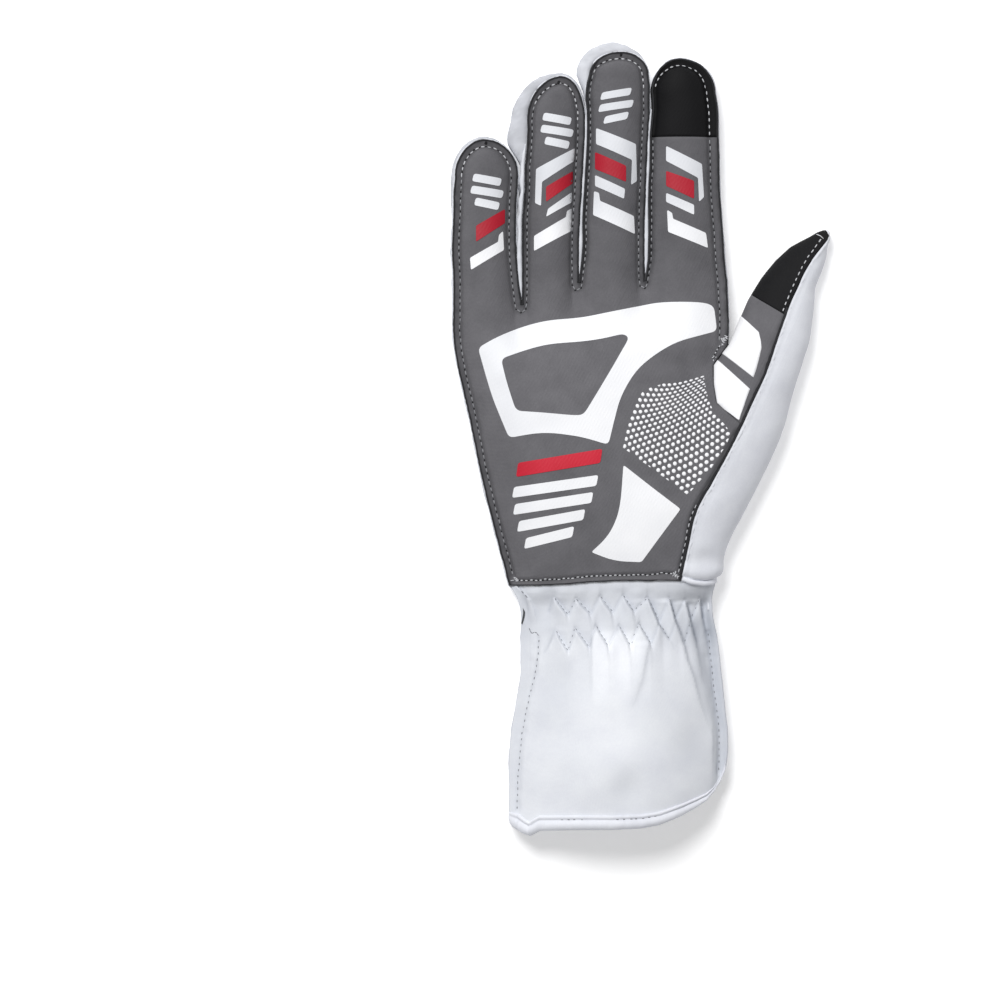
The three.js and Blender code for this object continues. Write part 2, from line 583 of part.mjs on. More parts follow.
// The cuff's back: from the wrist row down to the hem, with the right wall that starts there.
function backCuff(wristRow) {
  const wallCount = OUTER_LEVELS.length;
  const sideAt = (x, y) => ({ edge: { x, y }, out: { x, y } });
  const wristEnd = wristRow[wristRow.length - 1];
  const rightWall = (y) =>
    wallColumn(sideAt(cuffRight(y), y), -1, 1, WALL_TOP_Z, OUTER_LEVELS).reverse();
  const first = wristRow[wallCount - 1].x;
  const rows = [[...wristRow, ...rightWall(WRIST_Y)]];
  const reach = BINDING.width + GAP;
  for (const v of CUFF_BACK_ROWS) {
    const leftY = mix(WRIST_Y, hemBack(0) + reach, v);
    const rightY = mix(WRIST_Y, hemBack(1) + reach, v);
    const left = wallColumn(sideAt(cuffLeft(leftY), leftY), 1, 1, WALL_TOP_Z, OUTER_LEVELS);
    const right = rightWall(rightY);
    const middle = wristRow.slice(wallCount).map((p) => {
      const share = (p.x - first) / (wristEnd.x + CUFF_BACK_MARGIN - first);
      const x = mix(left[wallCount - 1].x, right[0].x, share);
      return { x, y: mix(WRIST_Y, hemBack(share) + reach, v), z: 0 };
    });
    rows.push([...left, ...middle, ...right]);
  }
  return rows;
}

function backPanel() {
  const { upper, lower } = backBody();
  const cuff = backCuff(lower[lower.length - 1]);
  const patches = [upper.reverse(), lower.reverse(), cuff.reverse()];
  STATIONS.forEach((stations, number) => {
    patches.push(stations.map((s) => backRow(s, number === 0, number === FINGERS.length - 1)));
  });
  return cloth(patches, true);
}

// The strip that lines the gap between two fingers, from one fingertip round the web to the next.
function fourchette(number) {
  const column = (side, inward, station) => {
    const bottom = station.slit + GAP;
    return FOURCHETTE_LEVELS.map((level) => ({
      ...wallPoint(side, inward, mix(bottom, WALL_TOP_Z, level), station.wide),
      edge: "level",
    }));
  };
  const ends = (stations) => stations.slice(1).filter((s) => s.angle <= SLIT_END_ANGLE);
  const leftFinger = ends(STATIONS[number]).reverse();
  const rightFinger = ends(STATIONS[number + 1]);
  const web = WEBS[number + 1];
  const rows = leftFinger.map((s) => column(s.right, -1, s));
  rows.push(FOURCHETTE_LEVELS.map((level) => ({
    edge: "level",
    x: web.x,
    y: web.y - WALL / 2,
    z: mix(SLIT_Z + WALL + 2 * GAP, WALL_TOP_Z - GAP, level),
  })));
  rightFinger.forEach((s) => rows.push(column(s.left, 1, s)));
  return cloth([rows], true);
}

// A point of the thumb's front or back at one Y. c runs from 0 at the seam ridge to 1 at the
// side contour, to 2 round to the underside and to 3 along it to the bottom seam.
function thumbSection(y, isFront, c, edge) {
  const value = (column) => read(THUMB, "y", y, column);
  const ridge = value("ridge") + (isFront ? -GAP / 2 : GAP / 2);
  const contour = isFront ? value("left") : value("right");
  const side = isFront ? value("side") : mix(value("floor"), value("top"), THUMB_BACK_SIDE);
  const width = Math.abs(contour - ridge);
  const wall = Math.min(WALL, Math.max(THIN_WALL.least, THIN_WALL.share * width));
  const floor = value("floor");
  const under = value("under") + (isFront ? -GAP / 2 : GAP / 2);
  if (c <= 1) {
    const turn = radians(90 * c);
    const z = side + (value("top") - side) * Math.cos(turn);
    return { x: mix(ridge, contour, Math.sin(turn)), y, z, wall, edge: c === 0 ? "upright" : edge };
  }
  const foot = mix(contour, under, THUMB_FOOT);
  if (c <= 2) {
    const turn = radians(90 * (c - 1));
    return { x: mix(foot, contour, Math.cos(turn)), y, z: mix(side, floor, Math.sin(turn)), wall, edge };
  }
  return { x: mix(foot, under, c - 2), y, z: floor, wall, edge };
}

const thumbCut = (c) => mix(THUMB_CUT.ridge, THUMB_CUT.side, Math.min(1, c));

function thumbTouchTip() {
  const above = THUMB.filter((row) => row.y > THUMB_CUT.side);
  const rows = above.map(({ y }) => THUMB_COLUMNS.map((c) => thumbSection(y, true, c)));
  rows.push(THUMB_COLUMNS.map((c) => thumbSection(thumbCut(c) + GAP / 2, true, c, "across")));
  return cloth([rows]);
}

function thumbFront() {
  const crotchY = CROTCH.y + GAP / 2;
  const free = THUMB_FRONT_STEPS.map((s) =>
    THUMB_COLUMNS.map((c) => {
      const isEdge = s === 0 || (s === 1 && c > 1);
      return thumbSection(mix(thumbCut(c) - GAP / 2, crotchY, s), true, c, isEdge && "across");
    }),
  );
  const attached = [crotchY, ...THUMB_FOLD_ROWS].map((y) =>
    THUMB_ARC.map((c) => thumbSection(y, true, c)),
  );
  return cloth([free, attached]);
}

function thumbBack() {
  const rows = THUMB.map(({ y }) => {
    const atWrist = y <= WRIST_Y;
    return THUMB_COLUMNS.map((c) => thumbSection(atWrist ? y + GAP : y, false, c, atWrist && "across"));
  });
  return cloth([rows], true);
}

// Height of the folds that the two gathering rows draw up in the wrist.
function foldHeight(x, y) {
  const { upper, lower, height, rise, fromLeft, fromRight, fade } = FOLDS;
  const share = clamp01((upper.y - y) / (upper.y - lower.y));
  const crests = upper.crests.map((crest, i) => mix(crest, lower.crests[i], share));
  const last = crests.length - 1;
  const found = crests.findIndex((crest, n) => x < crests[n + 1]);
  const i = Math.max(0, Math.min(last - 1, found));
  const phase = (x - crests[i]) / (crests[i + 1] - crests[i]);
  const left = clamp01((x - crests[0] + fromLeft) / fromLeft);
  const right = clamp01((crests[last] + fromRight - x) / fromRight);
  const inside = left * right;
  const strength = ease((WRIST_Y - y) / rise) * (1 - ease((lower.y - y) / fade));
  return height * strength * inside * Math.cos(2 * Math.PI * phase);
}

// The hand's section at the wrist, which the top of the cuff follows.
function wristHeight(x) {
  const end = THUMB[THUMB.length - 1];
  if (x <= end.ridge) return palmHeight(x, WRIST_Y, palmLeft(WRIST_Y), end.ridge);
  const side = THUMB_BACK_SIDE * end.top;
  const across = clamp01((x - end.ridge) / (end.right - end.ridge));
  return side + (end.top - side) * Math.sqrt(1 - across ** 2);
}

// A point of the cuff's front: u from the left to the right side seam, v from wrist to hem.
function cuffPoint(u, v) {
  const hemX = mix(HEM_ENDS[0].x, HEM_ENDS[1].x, u);
  const hemY = read(HEM_FRONT, "x", hemX, "y") + BINDING.width + GAP;
  const y = mix(WRIST_Y - 2 * GAP, hemY, v);
  const x = mix(cuffLeft(y), cuffRight(y), u);
  const crown = (read(CUFF, "y", y, "top") - SEAM_Z) * (1 - Math.abs(2 * u - 1) ** CROWN_POWER.cuff);
  const join = 1 - ease((WRIST_Y - y) / WRIST_RUN);
  const z = mix(SEAM_Z + crown, Math.max(SEAM_Z, wristHeight(x)) - GAP, join);
  return { x, y, z: z + foldHeight(x, y), edge: v === 0 && "across" };
}

function cuffPanel() {
  const rows = CUFF_ROWS.map((v) => {
    const row = [];
    for (let i = 0; i <= CUFF_COLUMNS; i++) row.push(cuffPoint(i / CUFF_COLUMNS, v));
    return row;
  });
  return cloth([rows.reverse()]);
}

// The path of the binding round the cuff's mouth: along the front, down the right side, along
// the flat underside and up the left side. across and up say which way is out of the cuff.
function bindingPath() {
  const path = [];
  for (let i = 0; i <= CUFF_COLUMNS; i++) {
    const u = i / CUFF_COLUMNS;
    const p = cuffPoint(u, 1);
    const y = p.y - GAP;
    if (i === 0 || i === CUFF_COLUMNS) {
      path.push({ x: p.x, y, z: SEAM_Z - HEM_END_DROP, across: Math.sign(u - 0.5), up: 0 });
      continue;
    }
    const before = cuffPoint(clamp01(u - HEM_SLOPE_STEP), 1);
    const after = cuffPoint(clamp01(u + HEM_SLOPE_STEP), 1);
    const run = after.x - before.x;
    const rise = after.z - before.z;
    const length = Math.hypot(run, rise);
    path.push({ x: p.x, y, z: p.z, across: -rise / length, up: run / length });
  }
  const sidePoint = (x, y, inward, part) => {
    const p = wallPoint({ edge: { x, y }, out: { x, y } }, inward, part.z, 1);
    return { ...p, across: -inward * part.across, up: part.up };
  };
  const rightY = hemBack(1) + BINDING.width;
  const leftY = hemBack(0) + BINDING.width;
  HEM_SIDE.forEach((part) => path.push(sidePoint(cuffRight(rightY), rightY, -1, part)));
  for (let i = 0; i <= BINDING_STEPS.flat; i++) {
    const share = 1 - i / BINDING_STEPS.flat;
    const x = mix(cuffLeft(leftY) + EDGE_RADIUS, cuffRight(rightY) - EDGE_RADIUS, share);
    path.push({ x, y: hemBack(share) + BINDING.width, z: 0, across: 0, up: -1 });
  }
  [...HEM_SIDE].reverse().forEach((part) => path.push(sidePoint(cuffLeft(leftY), leftY, 1, part)));
  return path;
}

// The binding: a band of oval section that runs once round that path, flat where it rests.
function hemBinding() {
  const { section } = BINDING_STEPS;
  const rings = bindingPath().map((p) => {
    const ring = [];
    for (let k = 0; k < section; k++) {
      const turn = (2 * Math.PI * (k + 0.5)) / section;
      const out = (BINDING.thickness / 2) * Math.sin(turn) * SECTION_BULGE - WALL / 2;
      const along = (BINDING.width / 2) * (Math.cos(turn) * SECTION_BULGE - 1);
      const lift = p.up === -1 ? Math.min(out, 0) : out;
      const z = Math.max(0, p.z + p.up * lift);
      ring.push(new THREE.Vector3(p.x + p.across * lift, p.y + along, z));
    }
    return ring;
  });
  const count = rings.length;
  const faces = [];
  for (let i = 0; i < count; i++) {
    for (let k = 0; k < section; k++) {
      const a = i * section + k;
      const b = ((i + 1) % count) * section + k;
      const c = ((i + 1) % count) * section + ((k + 1) % section);
      const d = i * section + ((k + 1) % section);
      faces.push([a, c, b], [a, d, c]);
    }
  }
  const geometry = new THREE.BufferGeometry();
  geometry.setFromPoints(rings.flat());
  geometry.setIndex(faces.flat());
  geometry.computeVertexNormals();
  return geometry;
}

const glove = new THREE.Group();
function add(name, geometry, look) {
  const material = new THREE.MeshStandardMaterial({ ...look, metalness: 0 });
  const mesh = new THREE.Mesh(geometry, material);
  mesh.name = name;
  glove.add(mesh);
}

add("palm_panel", palmPanel(), COLOURS.palm);
add("index_touch_tip", indexTouchTip(), COLOURS.touch);
add("thumb_front", thumbFront(), COLOURS.palm);
add("thumb_touch_tip", thumbTouchTip(), COLOURS.touch);
add("thumb_back", thumbBack(), COLOURS.white);
add("back_panel", backPanel(), COLOURS.white);
add("fourchette_little_ring", fourchette(0), COLOURS.white);
add("fourchette_ring_middle", fourchette(1), COLOURS.white);
add("fourchette_middle_index", fourchette(2), COLOURS.white);
add("cuff_panel", cuffPanel(), COLOURS.white);
add("hem_binding", hemBinding(), COLOURS.white);

export default glove;
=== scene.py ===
import math
import random

import bpy
import numpy as np
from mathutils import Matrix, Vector, noise
from mathutils.bvhtree import BVHTree
from mathutils.geometry import delaunay_2d_cdt
from mathutils.kdtree import KDTree


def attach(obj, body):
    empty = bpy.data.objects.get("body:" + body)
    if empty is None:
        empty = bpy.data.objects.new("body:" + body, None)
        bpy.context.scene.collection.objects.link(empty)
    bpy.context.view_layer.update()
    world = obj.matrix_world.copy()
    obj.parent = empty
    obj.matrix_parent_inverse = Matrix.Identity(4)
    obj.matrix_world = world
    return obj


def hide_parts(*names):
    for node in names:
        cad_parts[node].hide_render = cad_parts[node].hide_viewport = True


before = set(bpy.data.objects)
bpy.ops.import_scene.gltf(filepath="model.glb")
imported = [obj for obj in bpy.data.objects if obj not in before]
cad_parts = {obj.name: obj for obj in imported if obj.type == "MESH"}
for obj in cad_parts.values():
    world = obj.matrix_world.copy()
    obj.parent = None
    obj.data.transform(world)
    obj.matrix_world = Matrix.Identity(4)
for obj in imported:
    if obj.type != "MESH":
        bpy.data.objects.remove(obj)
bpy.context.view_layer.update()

# A right-hand racing glove that lies palm up on its back. All tables and lengths are in
# millimetres, in the frame of the solids: X to the thumb, Y to the fingertips, Z up.
MM = 0.001
PIXEL = 0.38  # one pixel of the photograph
ORIGIN_PIXEL = (640.5, 438.5)  # where the photograph shows the frame's origin

# Heights and widths that the panels share.
SEAM_Z = 10.6
WALL_TOP_Z = 9.4
WALL_MID_Z = 4.5
SHOULDER_Z = 7.4  # a side wall rounds over between here and its top
SLIT_Z = 3.5
FINGER_CROWN = 4.2
EDGE_RADIUS = 4.0
WRIST_Y = -54.9
CROTCH = (33.2, 35.5)
CROTCH_Z = 6.5
TOUCH_CUT_Y = 114.6
THUMB_CUT = (46.6, 54.8)
TUCK = 0.3
CLOTH = 1.0
BINDING = 3.8

# Seam allowance outside the stitches: round a fingertip, along the palm's left edge and along
# the thumb seam. Each finger has its own on its left and right side.
INSET = {"tip": 2.7, "palm": 2.5, "thumb": 1.5}

# Columns: y, left and right edge of the front, left and right contour of the white sides.
FINGERS = [
    {
        "tip": (-59.1, 113.8),
        "back_tip": (-59.5, 115.0),
        "insets": (2.6, 2.6),
        "rows": [
            (99.8, -70.5, -46.5, -72.0, -46.3),
            (94.4, -70.9, -46.9, -72.0, -46.7),
            (83.8, -71.2, -47.3, -71.8, -47.1),
            (73.2, -71.6, -47.3, -72.2, -47.1),
            (62.5, -71.2, -46.5, -72.0, -46.3),
            (50.7, -71.2, -45.0, -71.8, -45.2),
        ],
    },
    {
        "tip": (-29.8, 137.8),
        "back_tip": (-29.8, 139.3),
        "insets": (1.8, 2.6),
        "rows": [
            (121.0, -43.0, -21.1, -49.2, -20.8),
            (115.7, -42.9, -21.1, -50.4, -20.8),
            (112.5, -43.1, -21.3, -50.6, -21.0),
            (108.6, -43.3, -21.5, -48.3, -21.2),
            (104.7, -43.7, -21.8, -46.2, -21.5),
            (94.4, -44.0, -22.3, -45.9, -22.0),
            (83.8, -44.8, -23.0, -46.3, -22.7),
            (73.2, -44.9, -23.4, -46.3, -23.1),
            (62.5, -44.9, -23.4, -45.6, -23.1),
            (50.7, -45.0, -23.4, -44.8, -23.5),
        ],
    },
    {
        "tip": (-7.4, 147.2),
        "back_tip": (-10.8, 151.1),
        "insets": (1.3, 2.2),
        "rows": [
            (138.5, -19.2, 3.0, -24.1, 3.1),
            (134.3, -20.3, 3.4, -22.3, 3.5),
            (130.0, -20.6, 3.4, -21.0, 3.5),
            (126.4, -20.3, 3.5, -20.4, 3.6),
            (115.7, -20.2, 2.9, -20.3, 3.0),
            (94.4, -21.3, 2.0, -21.3, 2.2),
            (83.8, -21.9, 1.6, -22.0, 1.9),
            (73.2, -21.9, 1.5, -22.4, 1.8),
            (59.1, -23.4, 1.7, -23.2, 1.5),
        ],
    },
    {
        "tip": (15.0, 144.6),
        "back_tip": (15.0, 145.0),
        "insets": (1.1, 3.4),
        "rows": [
            (131.7, 4.3, 28.5, 4.2, 28.6),
            (126.4, 4.6, 29.3, 4.5, 29.4),
            (115.7, 3.8, 29.7, 3.6, 29.8),
            (105.1, 3.7, 30.0, 3.4, 30.1),
            (94.4, 3.2, 30.2, 2.7, 30.3),
            (78.5, 3.2, 31.4, 2.5, 31.5),
            (67.8, 2.9, 32.1, 2.3, 32.2),
            (59.9, 1.7, 32.9, 1.9, 33.0),
        ],
    },
]
WEBS = [(-71.2, 50.7), (-45.0, 50.7), (-23.4, 59.1), (1.7, 59.9), (32.9, 59.9)]

# Columns: y, x of the palm's left edge.
PALM_LEFT = [
    (50.7, -71.2), (35.9, -70.9), (25.3, -69.0), (7.0, -64.8),
    (-8.2, -61.8), (-27.9, -57.2), (-42.4, -53.4), (-54.9, -49.9),
]
# Columns: y, x of the palm's right edge, height of the palm's middle, height of that edge.
PALM_RIGHT = [
    (59.9, 32.9, 15.0, 10.6), (51.9, 33.3, 16.3, 10.6), (41.2, 33.6, 17.8, 10.6),
    (35.5, 33.2, 18.5, 10.6), (27.9, 27.6, 19.2, 13.5), (20.7, 27.7, 19.8, 15.5),
    (13.5, 28.7, 20.2, 17.5), (5.1, 38.4, 20.5, 20.3), (-3.2, 34.2, 20.9, 20.7),
    (-14.6, 28.1, 21.0, 21.0), (-27.9, 20.9, 21.0, 20.8), (-40.9, 17.9, 20.3, 20.0),
    (-54.9, 15.0, 19.0, 19.0),
]
# Columns: y, left contour, seam ridge, right contour, line of the bottom seam, heights of
# the left contour, of the ridge and of the underside.
THUMB = [
    (79.5, 69.8, 70.8, 71.6, 70.8, 4.3, 5.6, 3.2),
    (78.7, 67.7, 71.3, 72.2, 70.2, 4.5, 6.8, 2.6),
    (77.1, 64.8, 71.7, 72.4, 69.3, 4.7, 7.8, 2.0),
    (75.4, 61.2, 71.1, 72.2, 68.0, 4.8, 8.7, 1.5),
    (73.2, 57.2, 69.4, 71.6, 66.2, 5.0, 9.7, 1.0),
    (68.2, 51.5, 65.5, 70.5, 62.8, 5.5, 11.5, 0.3),
    (64.0, 47.9, 62.9, 69.2, 60.8, 6.0, 12.8, 0.0),
    (61.3, 45.8, 61.5, 68.1, 59.4, 6.3, 13.5, 0.0),
    (58.0, 43.9, 60.1, 66.9, 57.6, 6.6, 14.2, 0.0),
    (52.6, 40.9, 57.5, 66.3, 55.3, 7.2, 15.3, 0.0),
    (44.6, 37.8, 54.5, 65.2, 52.4, 8.5, 16.6, 0.0),
    (35.5, 33.7, 51.3, 64.0, 48.8, 10.6, 17.8, 0.0),
    (27.9, 27.9, 48.8, 61.4, 47.2, 13.5, 18.6, 0.0),
    (20.7, 28.0, 45.8, 58.9, 45.8, 15.5, 19.3, 0.0),
    (13.5, 29.0, 42.4, 57.0, 44.3, 17.5, 19.9, 0.0),
    (5.1, 38.3, 38.6, 55.1, 41.6, 20.3, 20.4, 0.0),
    (-3.2, 34.4, 34.4, 51.9, 39.2, 20.7, 20.7, 0.0),
    (-14.6, 28.3, 28.3, 46.7, 35.6, 21.0, 21.0, 0.0),
    (-27.9, 21.1, 21.1, 40.1, 31.2, 20.8, 20.8, 0.0),
    (-40.9, 18.1, 18.1, 33.4, 26.6, 20.0, 20.0, 0.0),
    (-49.2, 16.3, 16.3, 31.2, 23.8, 19.4, 19.4, 0.0),
    (-54.9, 15.2, 15.2, 29.1, 22.0, 19.0, 19.0, 0.0),
]
THUMB_TIP_Y = THUMB[0][0]
THUMB_COLUMN = {"left": 1, "ridge": 2, "right": 3, "under": 4, "side": 5, "top": 6, "floor": 7}
# Columns: x, how far the seam at the wrist lies above its mean line, and the reach up and down
# the glove within which the cloth follows it.
WRIST_LINE = [
    (-49.4, -1.0), (-39.1, -0.85), (-28.7, -0.4), (-20.1, 0.4), (-10.6, 0.9), (12.2, 1.1),
    (22.0, 0.6), (30.0, 0.0),
]
WRIST_REACH = 7.0
# The stretch of y in which the palm's right edge dips into the thumb's fold.
THUMB_FOLD = (4, 36)
# Columns: y, left and right side seam of the cuff, height of its front.
CUFF = [
    (-54.9, -49.6, 28.7, 18.6), (-59.9, -47.0, 27.4, 17.3), (-65.2, -45.6, 27.2, 17.0),
    (-75.8, -45.6, 29.1, 19.2), (-91.8, -45.8, 31.0, 23.2), (-102.4, -47.7, 32.1, 25.0),
    (-113.0, -49.2, 33.2, 26.0), (-121.5, -49.9, 32.8, 26.6), (-127.5, -50.0, 31.6, 26.6),
    (-131.7, -49.9, 30.6, 26.6), (-150.0, -49.8, 30.0, 25.6),
]
# Columns: x and y of the binding's lower edge along the cuff's front, the binding's width.
HEM_FRONT = [
    (-49.9, -146.0, 3.6), (-48.9, -147.6, 4.8), (-46.4, -149.5, 6.1), (-44.3, -150.5, 5.6),
    (-42.3, -151.0, 4.8), (-40.5, -150.1, 5.2), (-38.4, -148.9, 5.3), (-25.0, -148.3, 5.1),
    (-11.6, -148.2, 5.0), (0.0, -147.6, 4.8), (7.0, -146.4, 4.7), (15.4, -143.2, 4.4),
    (20.7, -140.4, 3.7), (24.5, -137.9, 2.8), (27.6, -134.6, 1.9), (30.2, -131.0, 2.1),
    (32.2, -126.0, 2.4),
]
HEM_BACK_BOW = 3.0

# The zigzag seams that gather the wrist, in pixels of the photograph.
ZIGZAGS_PX = [
    [(549, 611), (553.8, 596.9), (568, 614.4), (575.6, 598), (590.6, 613), (600, 596), (612.5, 612),
     (623, 595), (633.8, 610.6), (647.5, 597), (659, 621), (668.8, 597.5), (675.5, 618), (685, 599),
     (691.5, 619), (700, 597.5), (704, 617)],
    [(545, 652), (555.6, 630), (568, 650.6), (575, 627.5), (588.8, 646), (595.6, 625), (608, 645.6),
     (618.8, 625), (630, 645), (638.8, 623), (650.6, 642.5), (658.8, 623), (668.8, 639),
     (675.6, 621), (684, 644), (690, 622), (697, 642)],
]
# The creases around them. A crease is where one fold lies over the next. Columns: on which side
# of it the higher fold lies, how far that stands over the other, how softly it drops, over what
# length it fades in, and its line in pixels of the photograph.
# Below each crease the lower fold also gets a band of painted shade.
CREASES = [
    (-1, 1.3, 0.35, 2, [(648.4, 597.7), (653, 611), (657.2, 622), (663, 631), (669, 639.5), (677, 657)]),
    (-1, 2.2, 0.4, 2, [(669.7, 597.7), (674.4, 618.6), (680, 632), (684, 645), (687, 659), (694, 679),
                       (699, 700), (711, 735)]),
    (-1, 1.8, 0.35, 2, [(686.5, 599.8), (689.6, 617.6), (695.3, 638.5), (698.5, 658), (704, 690)]),
    (-1, 1.3, 0.35, 2, [(700.5, 597.7), (702.6, 618.6), (706.8, 636.4), (710, 662)]),
    (1, 0.7, 0.7, 2, [(592, 630), (591.5, 655), (592, 695)]),
    (-1, 1.0, 0.9, 2, [(649, 640), (641, 681), (628, 715)]),
    (-1, 1.1, 0.35, 14, [(712, 712), (713, 745), (712.5, 792)]),
    (-1, 1.2, 0.35, 2, [(515, 583), (524.8, 594), (530, 600), (534.3, 609.6), (536, 619), (536.5, 631)]),
    (1, 0.9, 0.35, 2, [(520, 588), (526, 597), (528.5, 611), (529.2, 629)]),
    (1, 0.6, 0.5, 2, [(553, 594), (550, 608), (548, 622)]),
    (1, 0.7, 0.5, 2, [(556, 626), (551.5, 638), (543, 660)]),
]
# The cuff's side stitches, in pixels of the photograph.
CUFF_STITCHES_PX = [
    [(538.7, 638), (538, 655), (535, 675), (529.4, 696), (524.5, 721), (520.8, 745), (518.2, 777),
     (517, 811)],
    [(708, 632), (709.4, 640), (713, 676), (715.5, 699), (719, 723), (719.5, 757), (719, 772)],
]
# Soft hollows in the cuff: pixel of the middle, half widths across and along, and depth. Each also gets a
# spot of painted shade.
HOLLOWS = [((690, 748), (6.5, 9.5), 1.1), ((628, 788), (6.0, 6.5), 1.0), ((560, 676), (6.0, 8.0), 0.6)]


def mix(a, b, t):
    return a + (b - a) * t


def ease(t):
    t = np.clip(t, 0, 1)
    return t * t * (3 - 2 * t)


def hump(distance, reach):
    """1 at a line and falling off smoothly on both sides of it."""
    return np.exp(-((distance / reach) ** 2))


def spot(x, y, centre, half):
    """1 in the middle of a soft spot and falling off around it."""
    return np.exp(-(((x - centre[0]) / half[0]) ** 2) - (((y - centre[1]) / half[1]) ** 2))


def spline(keys, values, at):
    """A smooth curve through a table's points, read at one key or at an array of keys."""
    keys, values = np.asarray(keys, float), np.asarray(values, float)
    if keys[0] > keys[-1]:
        keys, values = keys[::-1], values[::-1]
    slope = np.gradient(values, keys)
    at = np.clip(at, keys[0], keys[-1])
    i = np.clip(np.searchsorted(keys, at) - 1, 0, len(keys) - 2)
    run = keys[i + 1] - keys[i]
    t = (at - keys[i]) / run
    start = (2 * t**3 - 3 * t**2 + 1) * values[i] + (t**3 - 2 * t**2 + t) * run * slope[i]
    return start + (3 * t**2 - 2 * t**3) * values[i + 1] + (t**3 - t**2) * run * slope[i + 1]


def straight(table, column, at):
    """One column of a table read straight between its rows; the first column is the key."""
    rows = sorted(table)
    return np.interp(at, [row[0] for row in rows], [row[column] for row in rows])


def smooth(table, column, at):
    rows = sorted(table)
    return spline([row[0] for row in rows], [row[column] for row in rows], at)


def palm_left(y):
    return smooth(PALM_LEFT, 1, y)


def palm_right(y):
    """Straight in the thumb's fold, and a smooth curve above and below it."""
    low, high = THUMB_FOLD
    curved = np.where(y >= high, smooth(PALM_RIGHT[:4], 1, y), smooth(PALM_RIGHT[7:], 1, y))
    return np.where((y < high) & (y > low), straight(PALM_RIGHT, 1, y), curved)


def thumb(column, y):
    """One of the thumb's lines at y. Its left contour has corners, and is read straight."""
    if column == "left":
        return straight(THUMB, THUMB_COLUMN[column], y)
    return smooth(THUMB, THUMB_COLUMN[column], y)


def ripple(points, scale, seed):
    """Smooth noise from about -1 to 1 with bumps of the given size."""
    shift = Vector((seed * 17.3, seed * -9.1, seed * 5.7))
    return np.array([noise.noise(Vector(p) / scale + shift) for p in points])


def tree_of(points):
    tree = KDTree(len(points))
    for i, p in enumerate(points):
        tree.insert((p[0], p[1], 0), i)
    tree.balance()
    return tree


def distance_to(tree, points):
    return np.array([tree.find((p[0], p[1], 0))[2] for p in points])


def resample(path, step):
    """Points at even steps along a path."""
    path = np.asarray(path, float)
    lengths = np.linalg.norm(np.diff(path, axis=0), axis=1)
    along = np.concatenate([[0], np.cumsum(lengths)])
    count = max(2, int(round(along[-1] / step)) + 1)
    at = np.linspace(0, along[-1], count)
    return np.column_stack([np.interp(at, along, path[:, k]) for k in range(path.shape[1])])


def settled(points):
    """Points moved with the wrist's seam line, which isn't quite straight."""
    points = np.array(points, float)
    x, y = points[..., 0], points[..., 1]
    points[..., 1] = y + straight(WRIST_LINE, 1, x) * hump(y - WRIST_Y, WRIST_REACH)
    return points


def from_photo(pixels):
    """Places of the photograph in the glove's own millimetres."""
    return [((x - ORIGIN_PIXEL[0]) * PIXEL, (ORIGIN_PIXEL[1] - y) * PIXEL) for x, y in pixels]


# Materials

def shader(name):
    material = bpy.data.materials.new(name)
    material.use_nodes = True
    tree = material.node_tree
    return material, tree.nodes, tree.links, tree.nodes["Principled BSDF"]


def linear(colour):
    """A colour given in parts of 255 as the screen shows it, as the shader wants it."""
    parts = [c / 255 for c in colour]
    return [c / 12.92 if c <= 0.04045 else ((c + 0.055) / 1.055) ** 2.4 for c in parts] + [1.0]


WEAVE_TURN = 38  # degrees that the threads lie askew to the glove
GRAIN_SCALE, PATCH_SCALE = 1400, 85
# The numbered inputs and the output of a mix of two colours.
MIX_SHARE, MIX_PLAIN, MIX_SHADE_AND_WEAR, MIX_RESULT = 0, 6, 7, 2


